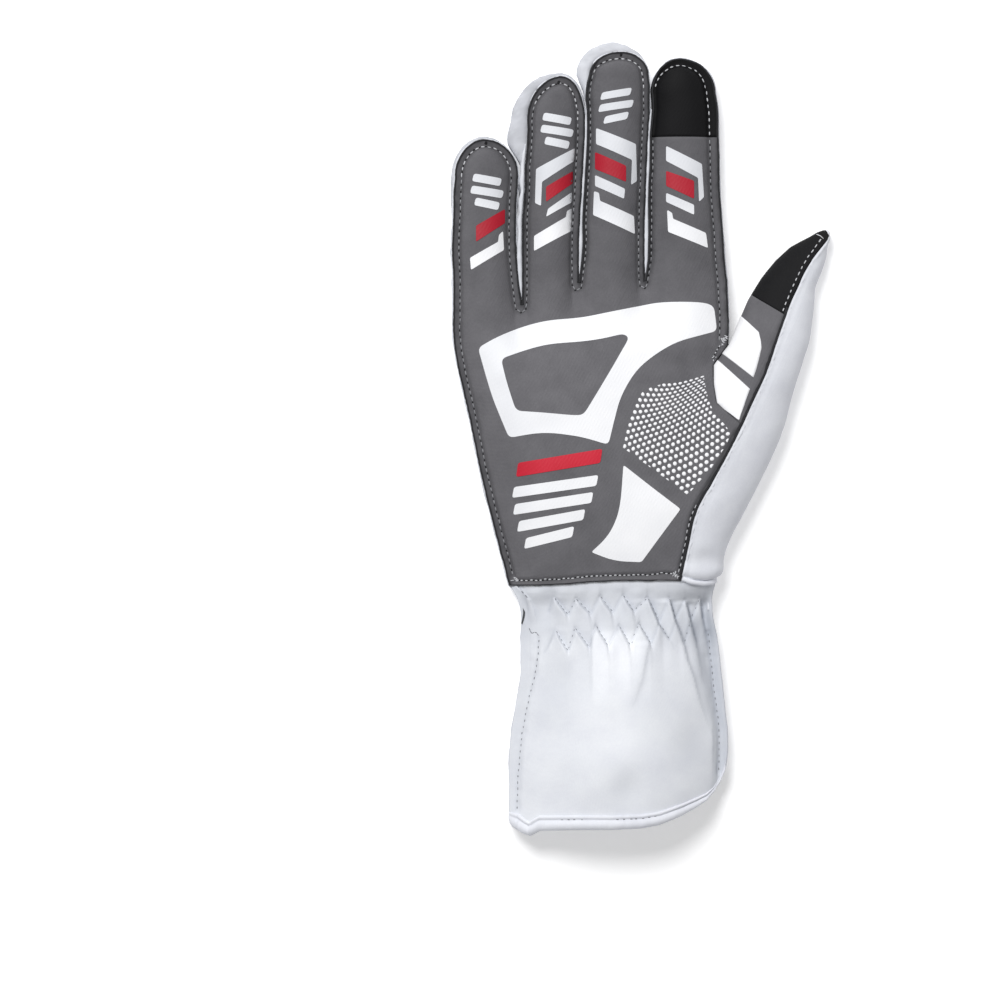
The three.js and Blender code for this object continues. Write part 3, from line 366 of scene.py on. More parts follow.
def cloth_material(name, colour, shade, pitch, bump, roughness, sheen, shade_and_wear_colour=None, specular=0.3):
    """Woven cloth: two crossing sets of threads, a finer grain, and slow shifts in colour.
    Where a mesh carries painted shade, and some wear, as an attribute, the cloth goes over there into a
    darker colour for them."""
    material, nodes, links, surface = shader(name)
    place = nodes.new("ShaderNodeTexCoord")

    def textured(kind, scale, **inputs):
        node = nodes.new(kind)
        node.inputs["Scale"].default_value = scale
        for key, value in inputs.items():
            node.inputs[key].default_value = value
        links.new(place.outputs["Object"], node.inputs["Vector"])
        return node

    def worked_out(operation, *values):
        node = nodes.new("ShaderNodeMath")
        node.operation = operation
        for socket, value in zip(node.inputs, values):
            if isinstance(value, float):
                socket.default_value = value
            else:
                links.new(value, socket)
        return node.outputs[0]

    wave_scale = 2 * math.pi / (20 * pitch * MM)
    threads = []
    for direction, turn in (("X", WEAVE_TURN), ("Y", -WEAVE_TURN)):
        turned = nodes.new("ShaderNodeMapping")
        turned.inputs["Rotation"].default_value = [math.radians(turn)] * 3
        links.new(place.outputs["Object"], turned.inputs["Vector"])
        wave = nodes.new("ShaderNodeTexWave")
        wave.bands_direction = direction
        wave.inputs["Scale"].default_value = wave_scale
        wave.inputs["Distortion"].default_value = 1.4
        wave.inputs["Detail Scale"].default_value = 2.0
        links.new(turned.outputs["Vector"], wave.inputs["Vector"])
        threads.append(wave.outputs["Fac"])
    weave = worked_out("MULTIPLY", *threads)
    grain = textured("ShaderNodeTexNoise", GRAIN_SCALE, Detail=3.0, Roughness=0.7)
    relief = worked_out("ADD", weave, grain.outputs["Fac"])
    bumps = nodes.new("ShaderNodeBump")
    bumps.inputs["Strength"].default_value = 0.8
    bumps.inputs["Distance"].default_value = bump * MM
    links.new(relief, bumps.inputs["Height"])
    links.new(bumps.outputs["Normal"], surface.inputs["Normal"])

    patches = textured("ShaderNodeTexNoise", PATCH_SCALE, Detail=5.0, Roughness=0.62)
    spread = worked_out("MULTIPLY_ADD", grain.outputs["Fac"], 0.45, patches.outputs["Fac"])
    tint = nodes.new("ShaderNodeValToRGB")
    low, high = tint.color_ramp.elements
    low.position, low.color = 0.25, linear(shade)
    high.position, high.color = 0.95, linear(colour)
    links.new(spread, tint.inputs["Fac"])
    if shade_and_wear_colour is None:
        links.new(tint.outputs["Color"], surface.inputs["Base Color"])
    else:
        shade_and_wear = nodes.new("ShaderNodeAttribute")
        shade_and_wear.attribute_name = "shade_and_wear"
        colours = nodes.new("ShaderNodeMix")
        colours.data_type = "RGBA"
        colours.inputs[MIX_SHADE_AND_WEAR].default_value = linear(shade_and_wear_colour)
        links.new(shade_and_wear.outputs["Fac"], colours.inputs[MIX_SHARE])
        links.new(tint.outputs["Color"], colours.inputs[MIX_PLAIN])
        links.new(colours.outputs[MIX_RESULT], surface.inputs["Base Color"])
    gloss = nodes.new("ShaderNodeMapRange")
    gloss.inputs["To Min"].default_value = roughness - 0.08
    gloss.inputs["To Max"].default_value = roughness + 0.08
    links.new(patches.outputs["Fac"], gloss.inputs["Value"])
    links.new(gloss.outputs["Result"], surface.inputs["Roughness"])
    surface.inputs["Sheen Weight"].default_value = sheen
    surface.inputs["Sheen Roughness"].default_value = 0.5
    surface.inputs["Specular IOR Level"].default_value = specular
    return material


# Columns: colour and its darker shade in parts of 255, pitch of the threads and height of the
# weave in millimetres, roughness, sheen, and the colour that painted shade and wear go over into.
MATERIALS = {
    "palm": cloth_material(
        "palm_cloth", (118, 117, 121), (90, 89, 93), 0.75, 0.06, 0.85, 0.03, (52, 52, 55)),
    "touch": cloth_material(
        "touch_patch", (24, 24, 26), (18, 18, 20), 0.7, 0.04, 0.7, 0.0, (10, 10, 11), specular=0.15),
    "white": cloth_material(
        "white_cloth", (231, 233, 239), (213, 215, 224), 0.8, 0.02, 0.75, 0.05, (150, 152, 158)),
    # The cuff's cloth is set lighter than the other white cloth, so that where its painted shade is least,
    # on the tongue, it shows as a painted highlight; its last colour is the bluish painted shade.
    "cuff": cloth_material(
        "cuff_cloth", (246, 248, 252), (229, 231, 239), 0.8, 0.02, 0.75, 0.05, (143, 150, 162)),
    "print_white": cloth_material(
        "print_white", (249, 249, 251), (240, 241, 245), 0.75, 0.03, 0.5, 0.0, (188, 192, 200)),
    "print_red": cloth_material(
        "print_red", (214, 36, 60), (196, 28, 48), 0.75, 0.03, 0.5, 0.0, (120, 10, 26)),
    "print_dark": cloth_material("print_dark", (76, 78, 80), (66, 68, 70), 0.75, 0.03, 0.52, 0.0),
    "edge": cloth_material("raw_edge", (48, 48, 51), (26, 26, 28), 0.5, 0.08, 0.9, 0.05),
    # The needle holes' dark colour is painted shade.
    "hole_shade": cloth_material("needle_hole_shade", (34, 34, 36), (24, 24, 26), 0.4, 0.03, 0.95, 0.0),
    "thread": cloth_material("light_thread", (212, 213, 217), (170, 171, 176), 0.3, 0.05, 0.6, 0.1),
    "thread_side": cloth_material(
        "side_thread", (156, 157, 161), (112, 113, 118), 0.3, 0.05, 0.65, 0.05),
    # The cuff's thread is drawn grey: painted shade of the dents that it sinks into.
    "thread_painted_grey": cloth_material(
        "painted_grey_thread", (128, 130, 136), (100, 102, 108), 0.3, 0.05, 0.6, 0.1),
}


# Mesh makers

def new_piece(name, shape, material, replaced=(), shade_and_wear=None, sharp=False):
    """A named piece from points in millimetres and faces. It rides on the glove's one body. The
    function given for painted shade and wear says at each of its points, from 0 to 1, how far
    they darken it; a sharp piece is shaded flat across its borders."""
    points, faces = shape
    mesh = bpy.data.meshes.new(name)
    corners = [list(map(int, face)) for face in faces]
    mesh.from_pydata((np.asarray(points, float) * MM).tolist(), [], corners)
    mesh.materials.append(MATERIALS[material])
    mesh.polygons.foreach_set("use_smooth", [True] * len(mesh.polygons))
    mesh.update()
    if shade_and_wear is not None:
        layer = mesh.attributes.new("shade_and_wear", "FLOAT", "POINT")
        layer.data.foreach_set("value", np.clip(shade_and_wear(points), 0, 1).astype(np.float32))
    if sharp:
        mesh.set_sharp_from_angle(angle=math.radians(40))
    piece = bpy.data.objects.new(name, mesh)
    bpy.context.scene.collection.objects.link(piece)
    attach(piece, "root")
    if replaced:
        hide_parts(*replaced)


def weld(patches, faces_down):
    """One mesh from grids of points. Grids that share points are joined there."""
    places, points, faces = {}, [], []
    for patch in patches:
        rows, columns = patch.shape[:2]
        index = np.empty((rows, columns), int)
        keys = np.round(patch, 3) + 0.0
        for r in range(rows):
            for c in range(columns):
                key = tuple(keys[r, c])
                if key not in places:
                    places[key] = len(points)
                    points.append(patch[r, c])
                index[r, c] = places[key]
        for r in range(rows - 1):
            for c in range(columns - 1):
                corners = [index[r, c], index[r, c + 1], index[r + 1, c + 1], index[r + 1, c]]
                ring = [p for n, p in enumerate(corners) if p != corners[n - 1]]
                if len(set(ring)) > 2:
                    faces.append(ring[::-1] if faces_down else ring)
    return np.array(points), faces


def normals_of(points, faces):
    """The way that the surface faces at each point."""
    total = np.zeros_like(points)
    for face in faces:
        a, b, c = points[face[0]], points[face[1]], points[face[2]]
        turn = np.cross(b - a, c - a)
        if len(face) == 4:
            turn = turn + np.cross(c - a, points[face[3]] - a)
        total[face] += turn
    size = np.linalg.norm(total, axis=1, keepdims=True)
    return total / np.where(size > 0, size, 1)


LOWEST_INNER = 0.3  # the cloth's inner face stays this high above the ground


def cloth_shell(patches, relief, thickness=CLOTH, faces_down=False):
    """A closed sheet of cloth whose outer face is the grids, moved out by their relief."""
    points, faces = weld(patches, faces_down)
    points = points + normals_of(points, faces) * relief(points)[:, None]
    points[:, 2] = np.maximum(points[:, 2], 0)
    depth = thickness(points) if callable(thickness) else thickness
    inner = points - normals_of(points, faces) * depth
    inner[:, 2] = np.maximum(inner[:, 2], LOWEST_INNER)
    count = len(points)
    shell = list(faces) + [[i + count for i in face[::-1]] for face in faces]
    used = {(face[n - 1], p): True for face in faces for n, p in enumerate(face)}
    for a, b in used:
        if (b, a) not in used:
            shell.append([b, a, a + count, b + count])
    return np.vstack([points, inner]), shell, BVHTree.FromPolygons(points.tolist(), faces)


def height_on(surface, x, y, from_below=False):
    """Height of a surface at a place in plan, or None beside it."""
    start, way = ((x, y, -30), (0, 0, 1)) if from_below else ((x, y, 80), (0, 0, -1))
    hit = surface.ray_cast(Vector(start), Vector(way))[0]
    return None if hit is None else hit.z


def sweep(path, profile, left_hand=True):
    """A closed band along a path. Its profile, or what the profile gives at a point of the path,
    is a loop of (reach to the path's side, height)."""
    path = np.asarray(path, float)
    ahead = np.gradient(path, axis=0)
    ahead = ahead / np.maximum(np.linalg.norm(ahead[:, :2], axis=1, keepdims=True), 1e-9)
    side = np.column_stack([-ahead[:, 1], ahead[:, 0]]) * (1 if left_hand else -1)
    points, faces = [], []
    for p, s in zip(path, side):
        for reach, rise in profile(p) if callable(profile) else profile:
            points.append((p[0] + s[0] * reach, p[1] + s[1] * reach, p[2] + rise))
    around = len(points) // len(path)
    for i in range(len(path) - 1):
        for k in range(around):
            a, b = i * around + k, i * around + (k + 1) % around
            faces.append([a, b, b + around, a + around])
    last = (len(path) - 1) * around
    caps = [list(range(around))[::-1], list(range(last, last + around))]
    faces = [face if left_hand else face[::-1] for face in faces + caps]
    return np.array(points), faces


def join(meshes):
    """One shape from several, each given as points and faces."""
    points, faces, start = [], [], 0
    for some, ring in meshes:
        points.extend(some)
        faces.extend([[i + start for i in face] for face in ring])
        start += len(some)
    return np.array(points), faces


draw = random.Random(41)


def capsule(start, end, width, height):
    """One stitch: a short rounded bar of thread between two points."""
    start, end = np.asarray(start, float), np.asarray(end, float)
    along = end - start
    length = np.linalg.norm(along)
    along = along / length
    side = np.cross(along, (0, 0, 1))
    side = side / max(np.linalg.norm(side), 1e-9)
    up = np.cross(side, along)
    points, faces = [start], []
    stations, around = ((0.06, 0.62), (0.25, 1.0), (0.75, 1.0), (0.94, 0.62)), 6
    for share, size in stations:
        arch = 0.25 * height * math.sin(math.pi * share)
        for k in range(around):
            turn = 2 * math.pi * k / around
            offset = side * math.cos(turn) * width / 2 + up * (math.sin(turn) * height / 2 + arch)
            points.append(start + along * length * share + offset * size)
    points.append(end)
    for k in range(around):
        following = (k + 1) % around
        faces.append([0, 1 + following, 1 + k])
        for s in range(len(stations) - 1):
            a, b = 1 + s * around, 1 + (s + 1) * around
            faces.append([a + k, a + following, b + following, b + k])
        last = 1 + (len(stations) - 1) * around
        faces.append([last + k, last + following, len(points) - 1])
    return points, faces


def stitch_run(path, surface, pitch, length, width, lift, slack=0.05, holes=None):
    """Stitches along a path in plan, each laid on the surface under it at some lift. They stray
    from the path by their slack. Dark marks of painted shade for the needle's holes between
    them are added to the list."""
    path = resample(np.asarray(path)[:, :2], pitch)
    bars = []
    for n, (a, b) in enumerate(zip(path[:-1], path[1:])):
        middle = (a + b) / 2 + np.array([draw.gauss(0, slack), draw.gauss(0, slack)])
        way = (b - a) / max(np.linalg.norm(b - a), 1e-9)
        half = length / 2 * draw.uniform(0.8, 1.12)
        ends = []
        for sign in (-1, 1):
            at = middle + way * half * sign
            z = height_on(surface, at[0], at[1])
            if z is not None:
                ends.append((at[0], at[1], z + lift))
        if len(ends) == 2:
            bars.append(capsule(ends[0], ends[1], width * draw.uniform(0.85, 1.1), width * 0.8))
        if holes is not None and n:
            holes += needle_hole_shade(a, way, surface, width * 1.7)
    return bars


def needle_hole_shade(at, way, surface, size):
    """Painted shade of a needle's hole: a flat dark dent where the thread goes through the cloth."""
    at = at + np.array([draw.gauss(0, 0.06), draw.gauss(0, 0.06)])
    ends = []
    for sign in (-1, 1):
        place = at + way * sign * size * draw.uniform(0.35, 0.6)
        z = height_on(surface, place[0], place[1])
        if z is None:
            return []
        ends.append((place[0], place[1], z + 0.05))
    return [capsule(ends[0], ends[1], size * 0.7, 0.16)]


SLIGHT_TURN = math.radians(33)


def rounded(points, radius):
    """A closed outline with its corners rounded; slight turns are smoothed into a curve."""
    points = [np.asarray(p, float) for p in points]
    out = []
    for i, p in enumerate(points):
        before, after = points[i - 1] - p, points[(i + 1) % len(points)] - p
        lb, la = np.linalg.norm(before), np.linalg.norm(after)
        turn = math.pi - math.acos(max(-1, min(1, float(before @ after) / (lb * la))))
        reach = 0.48 if turn < SLIGHT_TURN else 0
        cut_b = reach * lb or min(radius, 0.45 * lb)
        cut_a = reach * la or min(radius, 0.45 * la)
        a, b = p + before / lb * cut_b, p + after / la * cut_a
        for t in np.linspace(0, 1, 5):
            out.append((1 - t) ** 2 * a + 2 * t * (1 - t) * p + t * t * b)
    return np.array(out)


def inside(points, outline):
    """Which of the points lie inside a closed outline."""
    x, y = points[:, 0], points[:, 1]
    result = np.zeros(len(points), bool)
    for (x0, y0), (x1, y1) in zip(outline, np.roll(outline, -1, axis=0)):
        crosses = (y0 > y) != (y1 > y)
        with np.errstate(divide="ignore", invalid="ignore"):
            result ^= crosses & (x < (x1 - x0) * (y - y0) / (y1 - y0) + x0)
    return result


RIM_STEP = 0.5  # between points of a print's outline
PRINT_DEPTH = 0.15  # how far a print reaches down into its cloth
PRINTED_UP_TO = 0.4  # how high the back's prints run up its rounded edges


def film(outline, surface, lift=0.2, step=0.9, from_below=False, window=None):
    """A thin printed layer with the given outline, laid on a surface; it may have a window."""
    loops = [
        resample(np.vstack([loop, loop[:1]]), RIM_STEP)[:-1]
        for loop in (outline, window) if loop is not None
    ]
    low, high = loops[0].min(axis=0), loops[0].max(axis=0)
    grid = np.array([
        (x + (step / 2 if n % 2 else 0), y)
        for n, y in enumerate(np.arange(low[1], high[1], step * 0.87))
        for x in np.arange(low[0], high[0], step)
    ]).reshape(-1, 2)

    def covered(places):
        kept = inside(places, loops[0])
        return kept & ~inside(places, loops[1]) if len(loops) > 1 else kept

    grid = grid[covered(grid)]
    border = np.vstack(loops)
    if len(grid):
        grid = grid[distance_to(tree_of(border), grid) > 0.9 * RIM_STEP]
    rims, start = [], 0
    for loop in loops:
        rims += [(start + i, start + (i + 1) % len(loop)) for i in range(len(loop))]
        start += len(loop)
    flat = [Vector(p) for p in np.vstack([border, grid])]
    verts, _, triangles, _, _, _ = delaunay_2d_cdt(flat, rims, [], 0, 1e-5)
    plan = np.array([tuple(v) for v in verts])
    centres = np.array([plan[list(t)].mean(axis=0) for t in triangles])
    kept = [list(t) for t, keep in zip(triangles, covered(centres)) if keep]
    heights = [height_on(surface, x, y, from_below) for x, y in plan]
    kept = [t for t in kept if all(heights[i] is not None for i in t)]
    if from_below:
        kept = [t for t in kept if max(heights[i] for i in t) < PRINTED_UP_TO]
    away = -1 if from_below else 1
    z = np.array([0.0 if h is None else h for h in heights])
    top = np.column_stack([plan, z + away * lift])
    bottom = np.column_stack([plan, z - away * PRINT_DEPTH])
    count = len(top)
    faces = [t[::-1] if from_below else t for t in kept]
    edges = {(t[n - 1], t[n]) for t in faces for n in range(3)}
    faces = faces + [[i + count for i in face[::-1]] for face in faces]
    faces += [[b, a, a + count, b + count] for a, b in sorted(edges) if (b, a) not in edges]
    used = sorted({i for face in faces for i in face})
    place = {old: new for new, old in enumerate(used)}
    return np.vstack([top, bottom])[used], [[place[i] for i in face] for face in faces]


# Outlines and stitch lines in plan

def finger_edges(finger, y, left_in=0.0, right_in=0.0, tip_in=0.0):
    """Left and right edge of a finger's front at y, moved in, and how wide the tip still is."""
    rows, tip = finger["rows"], finger["tip"]
    shoulder = rows[0][0]
    base = np.minimum(y, shoulder)
    climb = np.clip((y - shoulder) / (tip[1] - tip_in - shoulder), 0, 1)
    wide = np.sqrt(1 - climb**2)
    left = mix(tip[0], smooth(rows, 1, base) + left_in, wide)
    right = mix(tip[0], smooth(rows, 2, base) - right_in, wide)
    return left, right, wide


def finger_loop(number, left_in=0.0, right_in=0.0, tip_in=0.0):
    """Up a finger's left edge from its web, round the tip and down the right edge."""
    rows, tip = FINGERS[number]["rows"], FINGERS[number]["tip"]
    shoulder, left, right = rows[0][:3]
    rise = [np.arange(WEBS[number + side][1] + 0.3, shoulder, 0.5) for side in (0, 1)]
    path = [(smooth(rows, 1, y) + left_in, y) for y in rise[0]]
    for degrees in range(0, 181, 3):
        across, along = math.cos(math.radians(degrees)), math.sin(math.radians(degrees))
        side = left + left_in if across > 0 else right - right_in
        path.append((mix(tip[0], side, abs(across)), mix(shoulder, tip[1] - tip_in, along)))
    path += [(smooth(rows, 2, y) - right_in, y) for y in rise[1][::-1]]
    return path


def seam_path():
    """The raw edge of the palm side: from the wrist up the left, round all fingers to the crotch."""
    path = [(float(palm_left(y)), y) for y in np.arange(WRIST_Y, WEBS[0][1], 0.5)]
    for number in range(len(FINGERS)):
        path += finger_loop(number)
        if number < 3:
            path.append(WEBS[number + 1])
    path += [(float(palm_right(y)), y) for y in np.arange(WEBS[4][1], CROTCH[1], -0.5)]
    return path


def stitch_path():
    """The row of stitches inside that edge, with a U below each gap between two fingers."""
    path = []
    for y in np.arange(WRIST_Y + 3.4, WEBS[0][1], 0.5):
        inset = mix(INSET["palm"], FINGERS[0]["insets"][0], ease((y - 30) / 20))
        path.append((float(palm_left(y)) + inset, y))
    for number in range(len(FINGERS)):
        loop = finger_loop(number, *FINGERS[number]["insets"], INSET["tip"])
        if number:
            start, end = path[-1], loop[0]
            centre, reach = (start[0] + end[0]) / 2, (end[0] - start[0]) / 2
            for degrees in range(0, 181, 12):
                turn = math.radians(degrees)
                level = mix(start[1], end[1], degrees / 180)
                path.append((centre - reach * math.cos(turn), level - 3.2 * math.sin(turn)))
        path += loop
    for y in np.arange(WEBS[4][1], CROTCH[1] + 1, -0.5):
        path.append((float(palm_right(y)) - FINGERS[-1]["insets"][1], y))
    return path


def ridge_path(low, high, step=0.6):
    """The thumb seam's ridge between two heights up the glove, from the top down."""
    path = [
        (float(thumb("ridge", y)), float(y), float(thumb("top", y)))
        for y in np.arange(high, low - 1e-6, -step)
    ]
    return [tuple(p) for p in settled(path)]


SEAM = [tuple(p) for p in settled(seam_path())]
STITCHES = [tuple(p) for p in settled(stitch_path())]
THUMB_STITCHES = [(x - INSET["thumb"], y) for x, y, _ in ridge_path(-52.5, 3)]
WRIST_STITCHES = resample(from_photo([
    (514.8, 580.6), (541, 580.2), (565, 578.5), (593, 575.8), (618.7, 575), (646, 574.8),
    (663.7, 573), (673, 573.5),
]), 0.5).tolist()
PALM_GROOVES = tree_of(STITCHES + THUMB_STITCHES + WRIST_STITCHES)
PALM_EDGE = tree_of(SEAM + [p[:2] for p in ridge_path(WRIST_Y, THUMB_TIP_Y - 0.5)])
RIDGE = tree_of(ridge_path(WRIST_Y - 1, THUMB_TIP_Y, 0.3))
RIDGE_SPACING = 0.36  # of its points along the slanting ridge


# Surfaces

def palm_height(x, y, left, right):
    """Height of the palm between its edges."""
    top, edge = smooth(PALM_RIGHT, 2, y), straight(PALM_RIGHT, 3, y)

    def fall(distance):
        return (1 - np.clip(distance / 24, 0, 1)) ** 2.2

    drop = (top - SEAM_Z) * fall(x - left - INSET["palm"])
    return top - drop - (top - edge) * fall(right - x)


def soft_relief(points):
    """Slow dents and small ripples of cloth that was worn or folded, fading out at its seams."""
    near = ease(distance_to(PALM_EDGE, points) / 5)
    return near * (0.45 * ripple(points, 24, 1) + 0.16 * ripple(points, 8, 2))


def palm_relief(points):
    """Grooves along the stitches, with small puckers beside them."""
    near = distance_to(PALM_GROOVES, points)
    pucker = 0.16 * ripple(points, 3.2, 3) * hump(near, 3.2)
    return soft_relief(points) - 0.6 * hump(near, 0.8) + pucker


def finger_crown(number, x, y):
    """Rise of a finger's front above its seam, between the two rows of stitches."""
    left, right, wide = finger_edges(FINGERS[number], y, *FINGERS[number]["insets"], INSET["tip"])
    across = np.clip((x - left) / np.maximum(right - left, 0.01) * 2 - 1, -1, 1)
    return FINGER_CROWN * wide**0.8 * (1 - np.abs(across) ** 2.4)


def finger_stations(number, outer, steps=64, tip_steps=18):
    """Left edge, right edge and remaining width of a finger, row by row from web to tip."""
    finger = FINGERS[number]
    rows = finger["rows"]
    tip = finger["back_tip"] if outer else finger["tip"]
    columns = (3, 4) if outer else (1, 2)
    shoulder = rows[0][0]
    share = np.linspace(0, 1, steps)
    turn = np.radians(np.linspace(0, 90, tip_steps + 1)[1:])
    edges = []
    for side, column in enumerate(columns):
        web = WEBS[number + side]
        y = mix(web[1], shoulder, share)
        x = smooth(rows, column, y)
        x[0] = web[0]
        tip_x = mix(tip[0], rows[0][column], np.cos(turn))
        tip_y = mix(shoulder, tip[1], np.sin(turn))
        tip_x[-1] = tip[0]
        edges.append(np.column_stack([np.concatenate([x, tip_x]), np.concatenate([y, tip_y])]))
    wide = np.concatenate([np.ones(steps), np.cos(turn)])
    wide[-1] = 0
    angle = np.concatenate([np.zeros(steps), np.degrees(turn)])
    return edges[0], edges[1], wide, angle


ACROSS = np.linspace(0, 1, 45)


def front_grid(number, low=-1e9, high=1e9):
    """The front of a finger between two heights, with a straight cut where it stops short."""
    left, right, _, _ = finger_stations(number, False)
    y = left[:, 1]
    keep = (y > low + 0.3) & (y < high - 0.3)
    rows = [(left[i], right[i]) for i in np.flatnonzero(keep)]

    def cut(at):
        return [np.array([np.interp(at, edge[:, 1], edge[:, 0]), at]) for edge in (left, right)]

    if low > y[0]:
        rows.insert(0, cut(low))
    if high < y[-1]:
        rows.append(cut(high))
    grid = np.array([[mix(a, b, t) for t in ACROSS] for a, b in rows])
    height = SEAM_Z + finger_crown(number, grid[..., 0], grid[..., 1])
    return np.dstack([grid, height])


ROOT_REACH = 6.0  # the dips between the fingers' roots even out across the hand over this much


def palm_grid():
    """The palm, row by row from the roots of the fingers down to the wrist."""
    start = [front_grid(number)[0] for number in range(len(FINGERS))]
    start = np.vstack([start[0]] + [row[1:] for row in start[1:]])
    x0, y0, z0 = start.T
    shares = (x0 - palm_left(y0)) / (palm_right(y0) - palm_left(y0))
    even = np.linspace(0, 1, len(start))
    down = np.concatenate([
        np.linspace(0, 0.07, 12), np.linspace(0.07, 0.93, 72)[1:], np.linspace(0.93, 1, 16)[1:],
    ])
    weights = hump(x0[:, None] - x0[None, :], ROOT_REACH)
    evened = weights @ z0 / weights.sum(axis=1)
    rows = [start]
    for s in down[1:]:
        y = mix(y0, WRIST_Y, s)
        left, right = palm_left(y), palm_right(y)
        x = mix(left, right, mix(shares, even, ease(s)))
        web = 1 - ease((y0 - y) / 28)
        softer = ease((y0 - y) / 16) * ease((x - left) / 8) * ease((right - x) / 8)
        root = mix(z0, evened, softer)
        rows.append(np.column_stack([x, y, mix(palm_height(x, y, left, right), root, web)]))
    return settled(rows[::-1])


def thumb_section(y, front, c):
    """A point of the thumb: c runs 0 to 1 from the ridge to the side contour, to 2 round to
    the underside and to 3 along it to the bottom seam."""
    y, c = np.broadcast_arrays(np.asarray(y, float), np.asarray(c, float))
    ridge, under = thumb("ridge", y), thumb("under", y)
    top, floor = thumb("top", y), thumb("floor", y)
    contour = thumb("left" if front else "right", y)
    side = thumb("side", y) if front else mix(floor, top, 0.45)
    turn = np.radians(90 * np.clip(c, 0, 1))
    bend = np.radians(90 * np.clip(c - 1, 0, 1))
    foot = mix(contour, under, 0.35)
    x = mix(ridge, contour, np.sin(turn))
    x = np.where(c > 1, mix(foot, contour, np.cos(bend)), x)
    x = np.where(c > 2, mix(foot, under, c - 2), x)
    z = side + (top - side) * np.cos(turn)
    z = np.where(c > 1, mix(side, floor, np.sin(bend)), z)
    return settled(np.stack([x, y, np.where(c > 2, floor, z)], axis=-1))


def thumb_thickness(points):
    """The thumb's cloth, thinner where the tip leaves little room."""
    width = np.abs(thumb("right", points[:, 1]) - thumb("left", points[:, 1]))
    return np.minimum(CLOTH, np.maximum(0.15, 0.12 * width))[:, None]


THUMB_C = np.concatenate([np.linspace(0, 1, 27), np.linspace(1, 2, 13)[1:], np.linspace(2, 3, 6)[1:]])
THUMB_ARC = THUMB_C[:27]


def thumb_cut(c):
    """Where the thumb's patch ends, straight across as seen from above."""
    return mix(THUMB_CUT[0], THUMB_CUT[1], np.sin(math.pi / 2 * np.minimum(1, c)))


def wall_grid(edge, out, inward, tops, wide, levels):
    """Side walls, row by row: from their tops at the edge, out round the contour and under."""
    floor = WALL_MID_Z * (1 - wide**0.7)
    z = mix(floor[:, None], tops[:, None], levels[None, :])
    climb = np.clip((z - SHOULDER_Z) / (WALL_TOP_Z - SHOULDER_Z), 0, 1)
    lean = 1 - np.sqrt(1 - climb**2)
    depth = np.maximum(WALL_MID_Z - floor, 1e-6)[:, None]
    drop = np.clip((WALL_MID_Z - z) / depth, 0, 1)
    under = 1 - np.sqrt(1 - drop**2)
    tuck = TUCK * inward * wide[:, None]
    x = mix(out[:, :1], edge[:, :1] + tuck, lean) + inward * EDGE_RADIUS * wide[:, None] * under
    y = mix(out[:, 1:2], edge[:, 1:2], lean) + 0 * z
    return np.stack([x, y, z], axis=-1)


LEVELS = 1 - np.linspace(0, 1, 16) ** 1.5
FLAT_STEPS = 12


def tip_share(y, finger):
    """Near its tip a finger's wall belongs to the back, below that to the strip in the gap."""
    return ease((y - finger["rows"][0][0] + 34) / 12)


def back_row_grid(number):
    """A finger's back: left wall, flat underside, right wall."""
    left_in, right_in, wide, _ = finger_stations(number, False)
    left, right, _, _ = finger_stations(number, True)
    slits = [
        mix(SLIT_Z, WALL_TOP_Z, tip_share(edge[:, 1], FINGERS[number])) for edge in (left_in, right_in)
    ]
    full = np.full(len(wide), WALL_TOP_Z)
    first, last = number == 0, number == len(FINGERS) - 1
    down = wall_grid(left_in, left, 1, full if first else slits[0], wide, LEVELS)
    up = wall_grid(right_in, right, -1, full if last else slits[1], wide, LEVELS)[:, ::-1]
    t = np.linspace(0, 1, FLAT_STEPS + 1)[1:-1]
    flat = mix(down[:, -1:], up[:, :1], t[None, :, None])
    return np.concatenate([down, flat, up], axis=1)


def cuff_left(y):
    return smooth(CUFF, 1, y)


def cuff_right(y):
    return smooth(CUFF, 2, y)


HEM_ENDS = (HEM_FRONT[0], HEM_FRONT[-1])


def hem_back(share):
    return mix(HEM_ENDS[0][1], HEM_ENDS[1][1], share) - HEM_BACK_BOW * np.sin(math.pi * share)


def level_wall(x, y, inward, top=WALL_TOP_Z):
    """One row of a side wall that stands straight, from its top down and under."""
    place = np.array([[x, y]])
    return wall_grid(place, place, inward, np.array([top]), np.ones(1), LEVELS)[0]


ROOTS_Y = 41.2  # from here down the back's rows run straight across
WEB_SHARES = np.linspace(0, 1, 9)[1:]
HAND_ROWS = [39.5, 37.5, CROTCH[1], *np.linspace(CROTCH[1], WRIST_Y, 50)[1:]]


